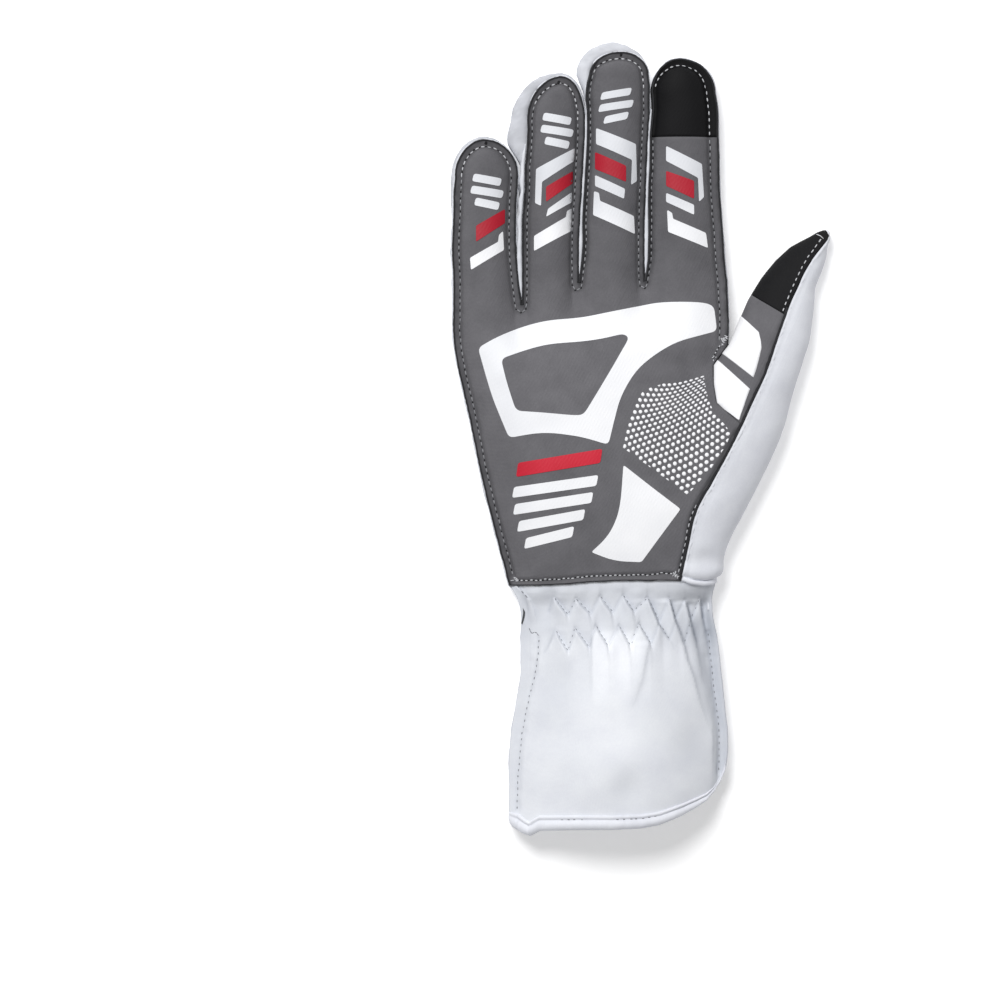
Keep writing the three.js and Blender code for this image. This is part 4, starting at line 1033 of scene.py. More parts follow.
def back_of_hand():
    """The back down to the wrist, in two grids: above the thumb's crotch and below it, where the
    rows run on to the thumb's bottom seam."""
    start = [back_row_grid(number)[0] for number in range(len(FINGERS))]
    start = np.vstack([start[0]] + [row[1:] for row in start[1:]])
    count = len(LEVELS)
    x0, y0, z0 = start.T
    share = (x0 - x0[count - 1]) / (x0[-count] - x0[count - 1])
    rows = [mix(y0, ROOTS_Y, s) for s in WEB_SHARES] + [np.full(len(y0), y) for y in HAND_ROWS]
    upper, lower = [start], []
    for y in rows:
        right_y = y[-1]
        fallen = CROTCH[1] - right_y
        below, level = fallen > 0.01, abs(fallen) <= 0.01
        under = float(thumb("under", right_y))
        if below:
            right_x = mix(CROTCH[0], under - 8, ease(fallen / 90 + 0.1))
            right_x = mix(CROTCH[0], right_x, ease(fallen / 12))
        else:
            right_x = float(palm_right(right_y))
        top = mix(WALL_TOP_Z, CROTCH_Z, ease((46 - right_y) / 10)) * (1 - ease(fallen / 24))
        left = level_wall(float(palm_left(y[0])) - 0.4, y[0], 1)
        right = level_wall(right_x, right_y, -1, max(top, 0.02))[::-1]
        x = mix(left[-1][0], right[0][0], share)
        row = np.column_stack([x, y, z0 * (1 - ease((y0 - y) / 12))])
        row[:count] = left
        row[-count:] = right
        if not below:
            upper.append(row)
        if below or level:
            crest_x, _, crest_z = row[-1]
            slope = [(crest_x + out, right_y, crest_z * h) for out, h in ((0.6, 0.5), (2.4, 0.15), (5, 0))]
            slope += [(mix(crest_x + 5, under, t), right_y, 0.0) for t in (0.33, 0.67, 1.0)]
            lower.append(np.vstack([row, slope]))
    return upper, lower


def back_of_cuff(wrist):
    """The back of the cuff, from the hand's last row down to the hem."""
    count = len(LEVELS)
    first, end = wrist[count - 1][0], wrist[-1][0]
    share = (wrist[count:, 0] - first) / (end + 2 - first)
    reach = BINDING - 0.7
    rows = []
    for v in np.linspace(0, 1, 56):
        left_y = mix(WRIST_Y, hem_back(0) + reach, v)
        right_y = mix(WRIST_Y, hem_back(1) + reach, v)
        left = level_wall(float(cuff_left(left_y)), left_y, 1)
        right = level_wall(float(cuff_right(right_y)), right_y, -1)[::-1]
        x = mix(left[-1][0], right[0][0], share)
        middle = np.column_stack([x, mix(WRIST_Y, hem_back(share) + reach, v), np.zeros(len(share))])
        if v == 0:
            left, middle = wrist[:count], wrist[count:]
        rows.append(np.vstack([left, middle, right]))
    return rows


def back_relief(points):
    """The seam that stands out round the back's edges, and the cloth's small unevenness."""
    z = points[:, 2]
    fin = 0.75 * hump(z - 1.7, 0.6) - 0.35 * hump(z - 3.2, 0.5)
    slack = 0.45 * ripple(points, 9, 4) + 0.22 * ripple(points, 3.5, 5)
    crumple = 0.3 * ripple(points, 2.0, 14) * ease((points[:, 1] - 75) / 20)
    return fin + ease(z / 3) * (slack + crumple)


# The wrist's gathers and the cuff

ZIGZAGS = [from_photo(line) for line in ZIGZAGS_PX]
ZIGZAG_TREE = tree_of(np.vstack([resample(path, 0.3) for path in ZIGZAGS]))
CUFF_INSET = 3.3
CUFF_STITCHES = [resample(from_photo(line), 0.5) for line in CUFF_STITCHES_PX]
CUFF_TREE = tree_of(np.vstack(CUFF_STITCHES))
# Where the cuff's front turns down to the thumb side.
FLANK = from_photo([(668, 590), (687, 659), (699, 700), (712, 740), (713, 800)])


def gathers(x, y):
    """Below each zigzag seam the cloth stands up in teeth, above it it sinks towards the seam.
    A leg that falls to the right is crisp, one that rises is soft; the seams' right ends are
    left to the folds that lie over them."""
    height = np.zeros_like(x)
    at = np.arange(-60, 40, 0.2)
    for line, right_share in zip(ZIGZAGS, (0.5, 0.12)):
        xs, ys = np.array(line).T
        falling = np.convolve(np.gradient(np.interp(at, xs, ys)) < 0, np.ones(7) / 7, "same")
        sharp = np.interp(x, at, falling)
        below = np.interp(x, xs, ys) - y
        under, over = np.maximum(below, 0), np.minimum(below, 0)
        swell = (1 - np.exp(-under / mix(4.5, 0.9, sharp))) * np.exp(-under / 8.0)
        dip = mix(0.05, 0.85, sharp)
        tooth = 2.3 * swell - dip * np.exp(-under / 0.8)
        ends = ease((x - xs[0] + 1) / 3) * ease((xs[-1] + 1 - x) / 3)
        share = ends * mix(1, right_share, ease((x - 5) / 4))
        height += share * np.where(below > 0, tooth, -dip * np.exp(over / 2.6))
    return height


def right_of(line, x, y):
    """How far a place lies to the right of a line that runs down the glove."""
    xs, ys = np.array(line).T
    return x - np.interp(-y, -ys, xs)


def beside_crease(crease, x, y):
    """How far a place lies to the higher side of a crease, how far down the crease it is, and
    how much of the fold there is."""
    side, _, _, start, pixels = crease
    line = from_photo(pixels)
    top, bottom = line[0][1], line[-1][1]
    away = right_of(line, x, y) * side
    progress = np.clip((top - y) / (top - bottom), 0, 1)
    along = ease((top - y) / start) * (1 - progress**2)
    return away, progress, along * ease((y - bottom) / 6)


def creases(x, y):
    """Folds that lie over one another: each rises towards its crease and drops off there."""
    height = np.zeros_like(x)
    for crease in CREASES:
        _, drop, soft, _, _ = crease
        away, progress, along = beside_crease(crease, x, y)
        high = 0.5 + 0.5 * np.tanh(away / (soft + 0.7 * progress))
        fold = high * np.exp(-np.maximum(away, 0) / 3.6)
        hollow = 0.45 * (1 - high) * np.exp(np.minimum(away, 0) / 2.2)
        height += drop * along * (fold - hollow)
    return height - 1.9 * ease(right_of(FLANK, x, y) / 8) * ease((-57 - y) / 8)


def slack_cuff(x, y):
    """Soft upright waves around the gathers, and the hollows of the cuff below them."""
    stretched = np.stack([x, y / 3.2, 0 * x], axis=-1).reshape(-1, 3)
    waves = ripple(stretched, 4.6, 12).reshape(x.shape)
    height = 0.75 * waves * ease((-56 - y) / 3) * (1 - ease((-y - 74) / 28))
    for pixel, half, depth in HOLLOWS:
        height -= depth * spot(x, y, from_photo([pixel])[0], half)
    return height


def wrist_height(x):
    """The hand's section at the wrist, which the top of the cuff follows."""
    ridge, right, top = (THUMB[-1][THUMB_COLUMN[name]] for name in ("ridge", "right", "top"))
    palm = palm_height(x, np.full_like(x, WRIST_Y), float(palm_left(WRIST_Y)), ridge)
    side = 0.45 * top
    across = np.clip((x - ridge) / (right - ridge), 0, 1)
    return np.where(x <= ridge, palm, side + (top - side) * np.sqrt(1 - across**2))


def cuff_grid(columns=190, rows=185):
    """The cuff's front from the wrist's seam down to the hem, with all its folds."""
    u = np.linspace(0, 1, columns)[None, :]
    v = np.linspace(0, 1, rows)[:, None] ** 1.3
    hem_x = mix(HEM_ENDS[0][0], HEM_ENDS[1][0], u)
    hem_y = straight(HEM_FRONT, 1, hem_x) + straight(HEM_FRONT, 2, hem_x) - 0.5
    y = mix(WRIST_Y + 0.4, hem_y, v)
    left, right = cuff_left(y[:, :1]), cuff_right(y[:, -1:])
    x = mix(left, right, u)
    across = np.clip((x - left - CUFF_INSET) / (right - left - 2 * CUFF_INSET) * 2 - 1, -1, 1)
    crown = (smooth(CUFF, 3, y) - SEAM_Z) * (1 - np.abs(across) ** 2.4)
    join = 1 - ease((WRIST_Y - y) / 9)
    z = mix(SEAM_Z + crown, np.maximum(SEAM_Z - 0.4, wrist_height(x)) - 1.1, join)
    grid = settled(np.stack([x, y, z], axis=-1))
    x, y = grid[..., 0], grid[..., 1]
    inside_seams = ease((x - left) / 2.5) * ease((right - x) / 2.5)
    grid[..., 2] += inside_seams * (gathers(x, y) + creases(x, y) + slack_cuff(x, y))
    return grid


def cuff_relief(points):
    """Grooves along the cuff's stitches, puckers beside them, and slack cloth below."""
    seam = distance_to(CUFF_TREE, points)
    grooves = -0.16 * hump(distance_to(ZIGZAG_TREE, points), 0.5) - 0.45 * hump(seam, 0.8)
    slack = 0.7 * ripple(points, 30, 6) + 0.3 * ripple(points, 13, 7)
    pucker = 0.2 * ripple(points, 3.0, 8) * hump(seam, 3)
    return grooves + slack * ease((-points[:, 1] - 58) / 20) + pucker


# Pieces

SURFACES = {}


def cloth_piece(name, patches, material, solid, relief, thickness=CLOTH, faces_down=False, shade_and_wear=None):
    """One sheet of cloth that stands for one of the solids. Its surface is kept for what lies on it."""
    points, faces, surface = cloth_shell(patches, relief, thickness, faces_down)
    SURFACES[name] = surface
    new_piece(name, (points, faces), material, [solid], shade_and_wear)


def palm_shade_and_tone(points):
    """Painted shade along the cut edge and in the dents of the stitches, spotted unevenly; besides,
    the palm is darker up the fingers and palest in the middle of the hand."""
    x, y, _ = points.T
    edge = hump(distance_to(PALM_EDGE, points), 1.5)
    dents = hump(distance_to(PALM_GROOVES, points), 0.8)
    spots = 1 + 0.7 * ripple(points, 2.5, 21)
    pale = spot(x, y, (-30, 22), (22, 20))
    slow = 0.23 - 0.2 * pale + 0.11 * ease((y - 55) / 20) + 0.03 * ripple(points, 16, 35)
    return (0.56 * edge + 0.27 * dents) * spots + slow


def cuff_painted_shade(points):
    """Painted shade in the dents of the cuff's seams, over the gathered band, near its side seams,
    on the side that turns down, below each crease and in the hollows, with one more spot of it and one
    spot lighter. A tongue below the band gets less of it and stays pale, a painted highlight."""
    x, y, _ = points.T
    dents = np.minimum(distance_to(ZIGZAG_TREE, points), distance_to(CUFF_TREE, points))
    band = ease((-53 - y) / 3) * (1 - ease((-72 - y) / 9))
    left_side, right_side = cuff_left(y) + 4.4 - x, x - cuff_right(y) + 4.4
    side = np.maximum(ease(left_side / 1.2) * 0.5, ease(right_side / 1.2))
    turned = ease(right_of(FLANK, x, y) / 5) * ease((-62 - y) / 10)
    tongue = ease((x + 19.0) / 1.5) * ease((4 - x - (-72 - y) * 0.2) / 6) * ease((-71 - y) / 4)
    tongue = tongue * (1 - ease((-y - 82) / 24))
    shade = 0.21 * (1 - tongue) + 0.14 * band + 0.2 * turned + 0.1 * side
    shade += 0.14 * hump(dents, 0.6)
    shade += 0.1 * spot(x, y, (-34, -98), (10, 14)) - 0.13 * spot(x, y, (-11.5, -112), (13, 15))
    for crease in CREASES:
        drop = crease[1]
        away, _, along = beside_crease(crease, x, y)
        shade += 0.16 * drop * along * (away < 0.1) * np.exp(np.minimum(away, 0) / 1.3)
    for pixel, half, depth in HOLLOWS:
        shade += 0.1 * depth * spot(x, y, from_photo([pixel])[0], half)
    return shade


def back_painted_shade(points):
    """Painted shade on the side walls, more of it low down and on the fingers' walls, most on the left
    fingers, and none on the part that lies on the ground; spotted unevenly.
    """
    x, y, z = points.T
    spots = 1 + 0.35 * ripple(points, 5, 23) + 0.3 * ripple(points, 1.7, 24)
    fingers = ease((y - 62) / 16) * mix(0.08, 0.24, ease((-24 - x) / 8))
    return ease(z / 1.5) * (0.32 + 0.08 * (1 - ease((z - 4) / 5)) + fingers) * spots


fronts = [front_grid(n) for n in range(3)] + [front_grid(3, high=TOUCH_CUT_Y)]
cloth_piece(
    "palm_panel_cloth", [palm_grid()] + fronts, "palm", "palm_panel", palm_relief,
    shade_and_wear=palm_shade_and_tone)
cloth_piece(
    "index_touch_cloth", [front_grid(3, low=TOUCH_CUT_Y)], "touch", "index_touch_tip",
    palm_relief, shade_and_wear=palm_shade_and_tone)

steps = np.linspace(0, 1, 60)[:, None] ** 1.5
tip_grid = thumb_section(mix(THUMB_TIP_Y, thumb_cut(THUMB_C)[None, :], steps), True, THUMB_C[None, :])
cloth_piece(
    "thumb_touch_cloth", [tip_grid], "touch", "thumb_touch_tip", palm_relief,
    thumb_thickness)
steps = np.linspace(0, 1, 26)[:, None]
free = thumb_section(mix(thumb_cut(THUMB_C)[None, :], CROTCH[1], steps), True, THUMB_C[None, :])
attached = thumb_section(np.linspace(CROTCH[1], 5.6, 40)[:, None], True, THUMB_ARC[None, :])
cloth_piece(
    "thumb_front_cloth", [free, attached], "palm", "thumb_front", palm_relief,
    shade_and_wear=palm_shade_and_tone)


# The middle line of the roll at the lower end of the thumb's back.
ROLL_LINE = from_photo([
    (682.5, 578.5), (688, 580.8), (693.8, 582.3), (703.5, 583.4), (711, 582.4), (717, 580),
])
THUMB_DENT = from_photo([(703, 559)])[0]


def roll_y(x):
    return np.interp(x, [p[0] for p in ROLL_LINE], [p[1] for p in ROLL_LINE])


def thumb_back_relief(points):
    """A puckered lip beside the ridge, a groove along it, and soft dents."""
    found = [RIDGE.find((p[0], p[1], 0))[1:] for p in points]
    along = np.array([f[0] for f in found]) * RIDGE_SPACING
    away = np.array([f[1] for f in found])
    uneven = 1 + 0.6 * ripple(points, 6, 22)
    lip = (0.2 * hump(away - 0.7, 0.5) - 0.12 * hump(away - 2.0, 0.9)) * uneven
    puckers = 0.16 * np.sin(2 * math.pi * along / 3.0) * hump(away, 1.8) * uneven
    slack = ease(away / 6) * (0.7 * ripple(points, 22, 9) + 0.25 * ripple(points, 9, 10))
    x, y, z = points.T
    end = y - roll_y(x)
    pad = 1.0 * hump(end - 3.6, 2.6) - 1.1 * hump(end - 0.6, 0.7)
    dent = -1.0 * spot(x, y, THUMB_DENT, (4.5, 3.4))
    return lip + puckers * ease(away / 0.7) + (slack + pad + dent) * ease(z / 4)


# Painted shade, a little uneven, over all of the thumb's back.
def thumb_back_painted_shade(points):
    return 0.08 * (1 + 0.4 * ripple(points, 14, 26))


thumb_rows = np.concatenate([
    THUMB_TIP_Y - 15 * np.linspace(0, 1, 28) ** 1.5, np.linspace(THUMB_TIP_Y - 15, WRIST_Y, 138)[1:],
])
cloth_piece(
    "thumb_back_cloth", [thumb_section(thumb_rows[:, None], False, THUMB_C[None, :])], "white",
    "thumb_back", thumb_back_relief, thumb_thickness, faces_down=True,
    shade_and_wear=thumb_back_painted_shade)

upper, lower = back_of_hand()
backs = [settled(rows[::-1]) for rows in (upper, lower, back_of_cuff(lower[-1]))]
backs += [back_row_grid(n) for n in range(len(FINGERS))]
cloth_piece(
    "back_panel_cloth", backs, "white", "back_panel", back_relief, faces_down=True,
    shade_and_wear=back_painted_shade)


STRIP_END = 76  # degrees round the fingertip at which a strip ends


def fourchette_grid(number):
    """The strip in the gap between two fingers: down one finger's side, round the web and up."""
    columns = []
    levels = 1 - np.linspace(0, 1, 11) ** 1.5
    for finger, side, inward in ((number, 1, -1), (number + 1, 0, 1)):
        edges, outs = finger_stations(finger, False), finger_stations(finger, True)
        keep = edges[3] <= STRIP_END
        wide, angle = edges[2][keep], edges[3][keep]
        rise = ease(angle / (STRIP_END - 2))
        bottom = np.minimum(mix(SLIT_Z, WALL_TOP_Z, rise) - TUCK, WALL_TOP_Z - 0.3)
        floor = WALL_MID_Z * (1 - wide**0.7)
        shares = (bottom - floor) / (WALL_TOP_Z - floor)
        grid = []
        for i, share in enumerate(shares):
            row = slice(i, i + 1)
            edge, out = edges[side][row], outs[side][row]
            tops, heights = np.array([WALL_TOP_Z]), mix(share, 1, levels)
            grid.append(wall_grid(edge, out, inward, tops, wide[row], heights)[0])
        columns.append(np.array(grid)[1:])
    web_x, web_y = WEBS[number + 1]
    bottom = SLIT_Z + CLOTH + 2 * TUCK
    middle = [[web_x, web_y - 0.8, mix(bottom, WALL_TOP_Z, level)] for level in levels]
    return np.concatenate([columns[0][::-1], np.array([middle]), columns[1]])


def strip_relief(points):
    """Small ripples. The strip's ends lie inside the walls of the fingertips."""
    ends = np.zeros(len(points))
    for finger in FINGERS:
        beside = np.abs(points[:, 0] - finger["back_tip"][0]) < 14.5
        ends = np.maximum(ends, ease((points[:, 1] - finger["rows"][0][0] + 27) / 6) * beside)
    return 0.2 * ripple(points, 4, 11) - 0.15 - 0.65 * ends


# Painted shade, a little uneven, over the strips in the gaps between the fingers.
def strip_painted_shade(points):
    return 0.22 + 0.12 * ripple(points, 3, 25)


GAPS = ("little_ring", "ring_middle", "middle_index")
for number, gap in enumerate(GAPS):
    cloth_piece(
        "gusset_" + gap, [fourchette_grid(number)], "white", "fourchette_" + gap,
        strip_relief, 0.6, faces_down=True, shade_and_wear=strip_painted_shade)

# Where two fingers lie close together, the strip between them is pushed up into a narrow fold.
# Columns: gap, how far up from the web the fold starts and ends, its greatest half width, and
# how far it leans to the right finger.
GUSSET_FOLDS = [(1, 3.0, 62.0, 1.2, 0.8), (2, 3.5, 66.0, 1.2, 0.5), (3, 3.0, 66.0, 1.15, 0.6)]


def gusset_section(p):
    """The fold's rounded section; a point of its path ends with its half width."""
    half = p[3]
    right = [(half, -3.5), (half * 0.95, -0.75), (half * 0.55, -0.15)]
    return right + [(0, 0)] + [(-out, rise) for out, rise in right[::-1]]


def gusset_fold(web_number, start, end, widest, lean):
    """A fold that waves and swells along the middle of a gap and tapers off at both ends."""
    left_rows, right_rows = FINGERS[web_number - 1]["rows"], FINGERS[web_number]["rows"]
    web_y = WEBS[web_number][1]
    path = []
    for y in np.arange(web_y + start, web_y + end, 0.8):
        left, right = float(smooth(left_rows, 2, y)), float(smooth(right_rows, 1, y))
        wave = 1 + 0.35 * noise.noise(Vector((web_number * 9, y / 4, 0)))
        taper = ease((y - web_y - start) / 5) * ease((web_y + end - y) / 6)
        swell = 1 + 0.45 * hump(y - web_y - 10, 5) - 0.25 * ease((y - web_y - 18) / 8)
        half = min((right - left) / 2 + 0.42, widest * swell) * wave * (0.3 + 0.7 * taper)
        middle = mix((left + right) / 2, right - half, lean if right - left > 2 * half else 0.5)
        level = 10.3 + 0.25 * noise.noise(Vector((y / 5, web_number, 0)))
        path.append((middle, y, level, half))
    return sweep(path, gusset_section)


# Painted shade, a little uneven, over the folds in the gaps between the fingers.
def fold_painted_shade(points):
    return 0.2 + 0.25 * ripple(points, 3.5, 34)


new_piece("gusset_folds", join([gusset_fold(*fold) for fold in GUSSET_FOLDS]), "white", shade_and_wear=fold_painted_shade)

cuff = cuff_grid()
cloth_piece(
    "cuff_panel_cloth", [cuff[::-1]], "cuff", "cuff_panel", cuff_relief, shade_and_wear=cuff_painted_shade)


# Raw edges and the hem

def edge_profile(seed, width=0.68, fin=0.25, sway=1.0):
    """The cut edge of the grey cloth, folded up a little, its width changing as it goes."""
    def at(p):
        wave = noise.noise(Vector(p) / 5 + Vector((seed, 0, 0)))
        fray = noise.noise(Vector(p) / 1.3 + Vector((0, seed, 0)))
        w = width * (1 + 0.3 * wave + 0.15 * fray)
        out = sway * (0.18 * wave + 0.14 * fray)
        return [(w, -0.35), (w * 0.9, fin * 0.7), (w * 0.45, fin), (out, 0.0), (out - 0.08, -0.5),
                (out + 0.1, -1.15), (w, -1.2)]
    return at


TOUCH_START = 49.5  # where the thumb's patch starts up its ridge
seam_line = [(x, y, SEAM_Z) for x, y in SEAM]
edges = [sweep(resample(seam_line, 0.55), edge_profile(1), left_hand=False)]
low_edge = settled([
    (x, WRIST_Y, float(palm_height(np.array(x), np.array(WRIST_Y), float(palm_left(WRIST_Y)), 15.0)))
    for x in np.arange(15.6, palm_left(WRIST_Y), -0.6)
])
edges.append(sweep(low_edge, edge_profile(2, 0.34, 0.06), left_hand=False))
ridge_edge = ridge_path(WRIST_Y, TOUCH_START)
edges.append(sweep(ridge_edge, edge_profile(3, 1.15, 0.5, 1.6), left_hand=False))
new_piece("palm_raw_edge", join(edges), "edge")
touch_edge = ridge_path(TOUCH_START, THUMB_TIP_Y - 0.4, 0.3)
touch_edge = sweep(touch_edge, edge_profile(4, 0.9, 0.3, 1.6), left_hand=False)
new_piece("thumb_tip_raw_edge", touch_edge, "touch")


def lip_profile(p):
    """The white cloth's puckered edge beside the thumb's seam."""
    out = 0.7 + 0.5 * noise.noise(Vector(p) / 2.2 + Vector((11, 0, 0)))
    rise = 0.25 + 0.45 * noise.noise(Vector(p) / 1.5 + Vector((0, 13, 0)))
    return [(-0.1, -0.6), (out + 0.5, -0.7), (out + 0.35, rise * 0.4 - 0.1), (out, rise), (0.1, rise * 0.5)]


# Painted shade, a little uneven, on the white lip beside the thumb's seam.
def lip_painted_shade(points):
    return 0.1 + 0.2 * ripple(points, 2, 33)


seam_lip = sweep(ridge_path(WRIST_Y + 3, 71.5, 0.45), lip_profile)
new_piece("thumb_seam_lip", seam_lip, "white", shade_and_wear=lip_painted_shade)


def flange_profile(p):
    """The white cloth's cut edge, which looks out a little under the grey one."""
    out = 0.35 + 0.3 * noise.noise(Vector(p) / 6 + Vector((7, 0, 0)))
    return [(1.2, -1.15), (-out, -1.2), (-out - 0.1, -1.6), (-out * 0.5, -2.1), (1.2, -2.1)]


white_edge = sweep(resample(seam_line, 0.8), flange_profile, left_hand=False)
new_piece("white_seam_edge", white_edge, "white")

# The binding's section: shares of its width down the glove from its piped lip, over a stitched
# dent and a puffed tape to its lower edge, and heights out of the cuff.
TAPE = [(-0.1, -0.6), (-0.1, 0.1), (-0.04, 0.55), (0.06, 0.72), (0.15, 0.5), (0.21, 0.08), (0.29, 0.3),
        (0.42, 0.85), (0.58, 1.05), (0.75, 0.92), (0.9, 0.4), (1.0, -0.5), (0.96, -1.3), (0.8, -1.8),
        (0.5, -1.9), (0.2, -1.7), (0.0, -1.3)]
HEM_TURN, HEM_RISE = 4.0, 4.2  # width and height of the rim's rounded lower corners
HEM_SIDE_Z = (8.5, 6.5, 4.6)  # stations down the rim's sides


def hem_ring():
    """Points round the cuff's mouth: place, the way that faces out of the cuff, and width."""
    front = cuff[-1]
    ways = np.gradient(front, axis=0)
    widths = straight(HEM_FRONT, 2, np.linspace(HEM_ENDS[0][0], HEM_ENDS[1][0], len(front)))
    path = []
    for p, way, size, width in zip(front, ways, np.hypot(ways[:, 0], ways[:, 2]), widths):
        path.append((p[0], p[1] + 0.5, p[2], -way[2] / size, way[0] / size, width))
    right_y, left_y = hem_back(1) + BINDING, hem_back(0) + BINDING
    right, left = float(cuff_right(right_y)), float(cuff_left(left_y))
    corner = [(math.cos(t), math.sin(t)) for t in np.radians(np.linspace(0, 90, 7))]
    path += [(right, right_y, z, 1, 0, BINDING) for z in HEM_SIDE_Z]
    for out, down in corner:
        x = right - HEM_TURN + HEM_TURN * out
        path.append((x, right_y, HEM_RISE - HEM_RISE * down, out, -down, BINDING))
    for share in np.linspace(0.95, 0.05, 46):
        x = mix(left + HEM_TURN, right - HEM_TURN, (share - 0.05) / 0.9)
        path.append((x, hem_back(share) + BINDING, 0, 0, -1, BINDING))
    for out, down in corner[::-1]:
        x = left + HEM_TURN - HEM_TURN * out
        path.append((x, left_y, HEM_RISE - HEM_RISE * down, -out, -down, BINDING))
    path += [(left, left_y, z, -1, 0, BINDING) for z in HEM_SIDE_Z[::-1]]
    return path


ring = np.array(hem_ring())
# The way out of the cuff and the width change softly round the rim.
for _ in range(3):
    before, after = np.roll(ring[:, 3:], 1, axis=0), np.roll(ring[:, 3:], -1, axis=0)
    ring[:, 3:] = (before + ring[:, 3:] * 2 + after) / 4
# The binding puckers and puffs, most at the left end of the front, and is drawn tight where the
# rim runs up to the cuff's sides.
points, faces = [], []
for x, y, z, out_x, out_z, width in ring:
    place = Vector((x, y, z))
    corner = hump(x + 46, 4)
    pucker = (0.2 + 0.26 * corner) * noise.noise(place / (2.6 - corner))
    puff = 1 + 0.45 * noise.noise(place / 4 + Vector((3, 0, 0)))
    high_side = max(ease((x - 24) / 6), 0.8 * ease((-46.5 - x) / 2.5))
    tight = mix(1, 0.25, high_side if z > 4 else ease((abs(x + 9) - 36) / 4) * 0.6)
    for share, out in TAPE:
        reach = tight * ((out * puff if share > 0.25 and out > 0 else out) + pucker)
        points.append((x + out_x * reach, y - share * width, max(0.05, z + out_z * reach)))
size = len(TAPE)
for n in range(len(ring)):
    here, following = n * size, (n + 1) % len(ring) * size
    for k in range(size):
        after = (k + 1) % size
        faces.append([here + k, here + after, following + after, following + k])
new_piece("hem_binding_tape", (points, faces), "white", replaced=["hem_binding"])


def hem_groove(x):
    """A place in the dent below the binding's lip, on the cuff's front."""
    front = ring[:len(cuff[-1])]
    _, y, z, out_x, out_z, width = front[int(np.argmin(np.abs(front[:, 0] - x)))]
    return x + out_x * 0.2, y - 0.2 * width, z + out_z * 0.2


# The seam allowance inside the cuff's side seam at the wrist.
allowance = [(float(cuff_right(y)) - 1.0, float(y), 9.4) for y in np.arange(-54.2, -66.0, -0.8)]
allowance = sweep(settled(allowance), [(-0.6, 0.55), (-0.6, -0.9), (0.6, -0.9), (0.6, 0.55)])
new_piece("cuff_seam_allowance", allowance, "white")

# The rolled end of the thumb's back at the wrist.
roll = []
for c in np.linspace(0.0, 1.5, 46):
    p = thumb_section(WRIST_Y + 1.2, False, c)
    x = mix(ROLL_LINE[0][0], ROLL_LINE[-1][0], math.sin(math.pi / 2 * min(1, c)))
    roll.append((x if c <= 1 else p[0] - 0.4, float(roll_y(x)), max(0.8, p[2] - 0.5)))


def roll_profile(p):
    """A round section, a little uneven and fullest where the cloth is drawn together."""
    size = 0.82 + 0.12 * noise.noise(Vector(p) / 3) + 0.1 * hump(p[0] - 23, 6)
    turns = np.linspace(0, 2 * math.pi, 11)[:-1]
    return [(1.1 * size * math.cos(t), 1.15 * size * math.sin(t)) for t in turns]


new_piece("wrist_roll", sweep(roll, roll_profile), "white")

# The end of a dark stripe on the glove's back, which shows on the side of the wrist.
STRIPE_END = [
    (523.0, 608), (525.2, 612), (524.6, 617), (523, 622.5), (521, 627.5), (520.6, 626), (522.2, 619),
    (523.2, 613),
]
stripe_end = film(from_photo(STRIPE_END), SURFACES["cuff_panel_cloth"], 0.3, 0.5)
new_piece("back_stripe_end", stripe_end, "print_dark")


# Prints. Outlines are in pixels of the photograph unless they say otherwise.

FINGER_PRINTS = {
    "print_white": [
        [(596, 128), (636, 144), (637, 181), (631, 185), (632, 160), (596, 144)],
        [(595, 175), (625, 189), (624, 199), (595, 186)],
        [(594, 191), (599, 193), (600, 201), (634, 216), (635, 234), (593, 215)],
        [(666, 146), (702, 164), (704, 197), (699, 202), (698, 178), (666, 161)],
        [(666, 193), (694, 205), (694, 215), (666, 202)],
        [(667, 210), (672, 213), (673, 219), (706, 233), (708, 248), (668, 232)],
        [(575, 148), (574, 161), (542, 182), (541, 206), (535, 203), (536, 169)],
        [(572, 192), (572, 202), (546, 217), (548, 209)],
        [(572, 208), (571, 231), (534, 251), (534, 236), (566, 217), (567, 211)],
        [(503, 231), (504, 250), (471, 270), (470, 258), (498, 242), (499, 235)],
    ],
    "print_red": [
        [(595, 152), (626, 166), (626, 182), (595, 169)],
        [(666, 171), (694, 181), (694, 199), (666, 186)],
        [(573, 171), (573, 183), (546, 202), (546, 187)],
        [(505, 209), (505, 223), (476, 242), (476, 226)],
    ],
}
BAND = [(478, 348), (497, 337), (524, 326), (550, 320), (581, 318), (610, 312), (640, 306), (660, 302),
        (702, 302), (714, 306), (717, 331), (702, 335), (676, 342), (654, 355), (635, 371), (620, 397),
        (614, 420), (608, 445), (592, 440), (576, 436), (543, 432), (509, 438), (499, 414), (491, 394)]
BAND_WINDOW = [(501, 359), (526, 350), (549, 344), (581, 342), (602, 339), (623, 334), (629, 338),
               (606, 378), (584, 414), (577, 416), (546, 413), (516, 411), (507, 384)]
HEEL_PATCH = [(623, 465), (651, 487), (680, 509), (660, 536), (641, 562), (614, 561), (591, 552),
              (603, 541), (612, 529), (620, 508)]
GRIP_ZONE = [(703.5, 374.5), (706, 392), (710, 405), (716, 415), (723, 423.5), (730, 432.5), (726.5, 445),
             (717.5, 457), (711, 468), (699.5, 481), (687, 495.2), (668, 481), (646, 465), (622.5, 448),
             (627.5, 426), (631, 411), (641.5, 393), (651, 387.5), (663, 384), (680, 382), (694, 377)]
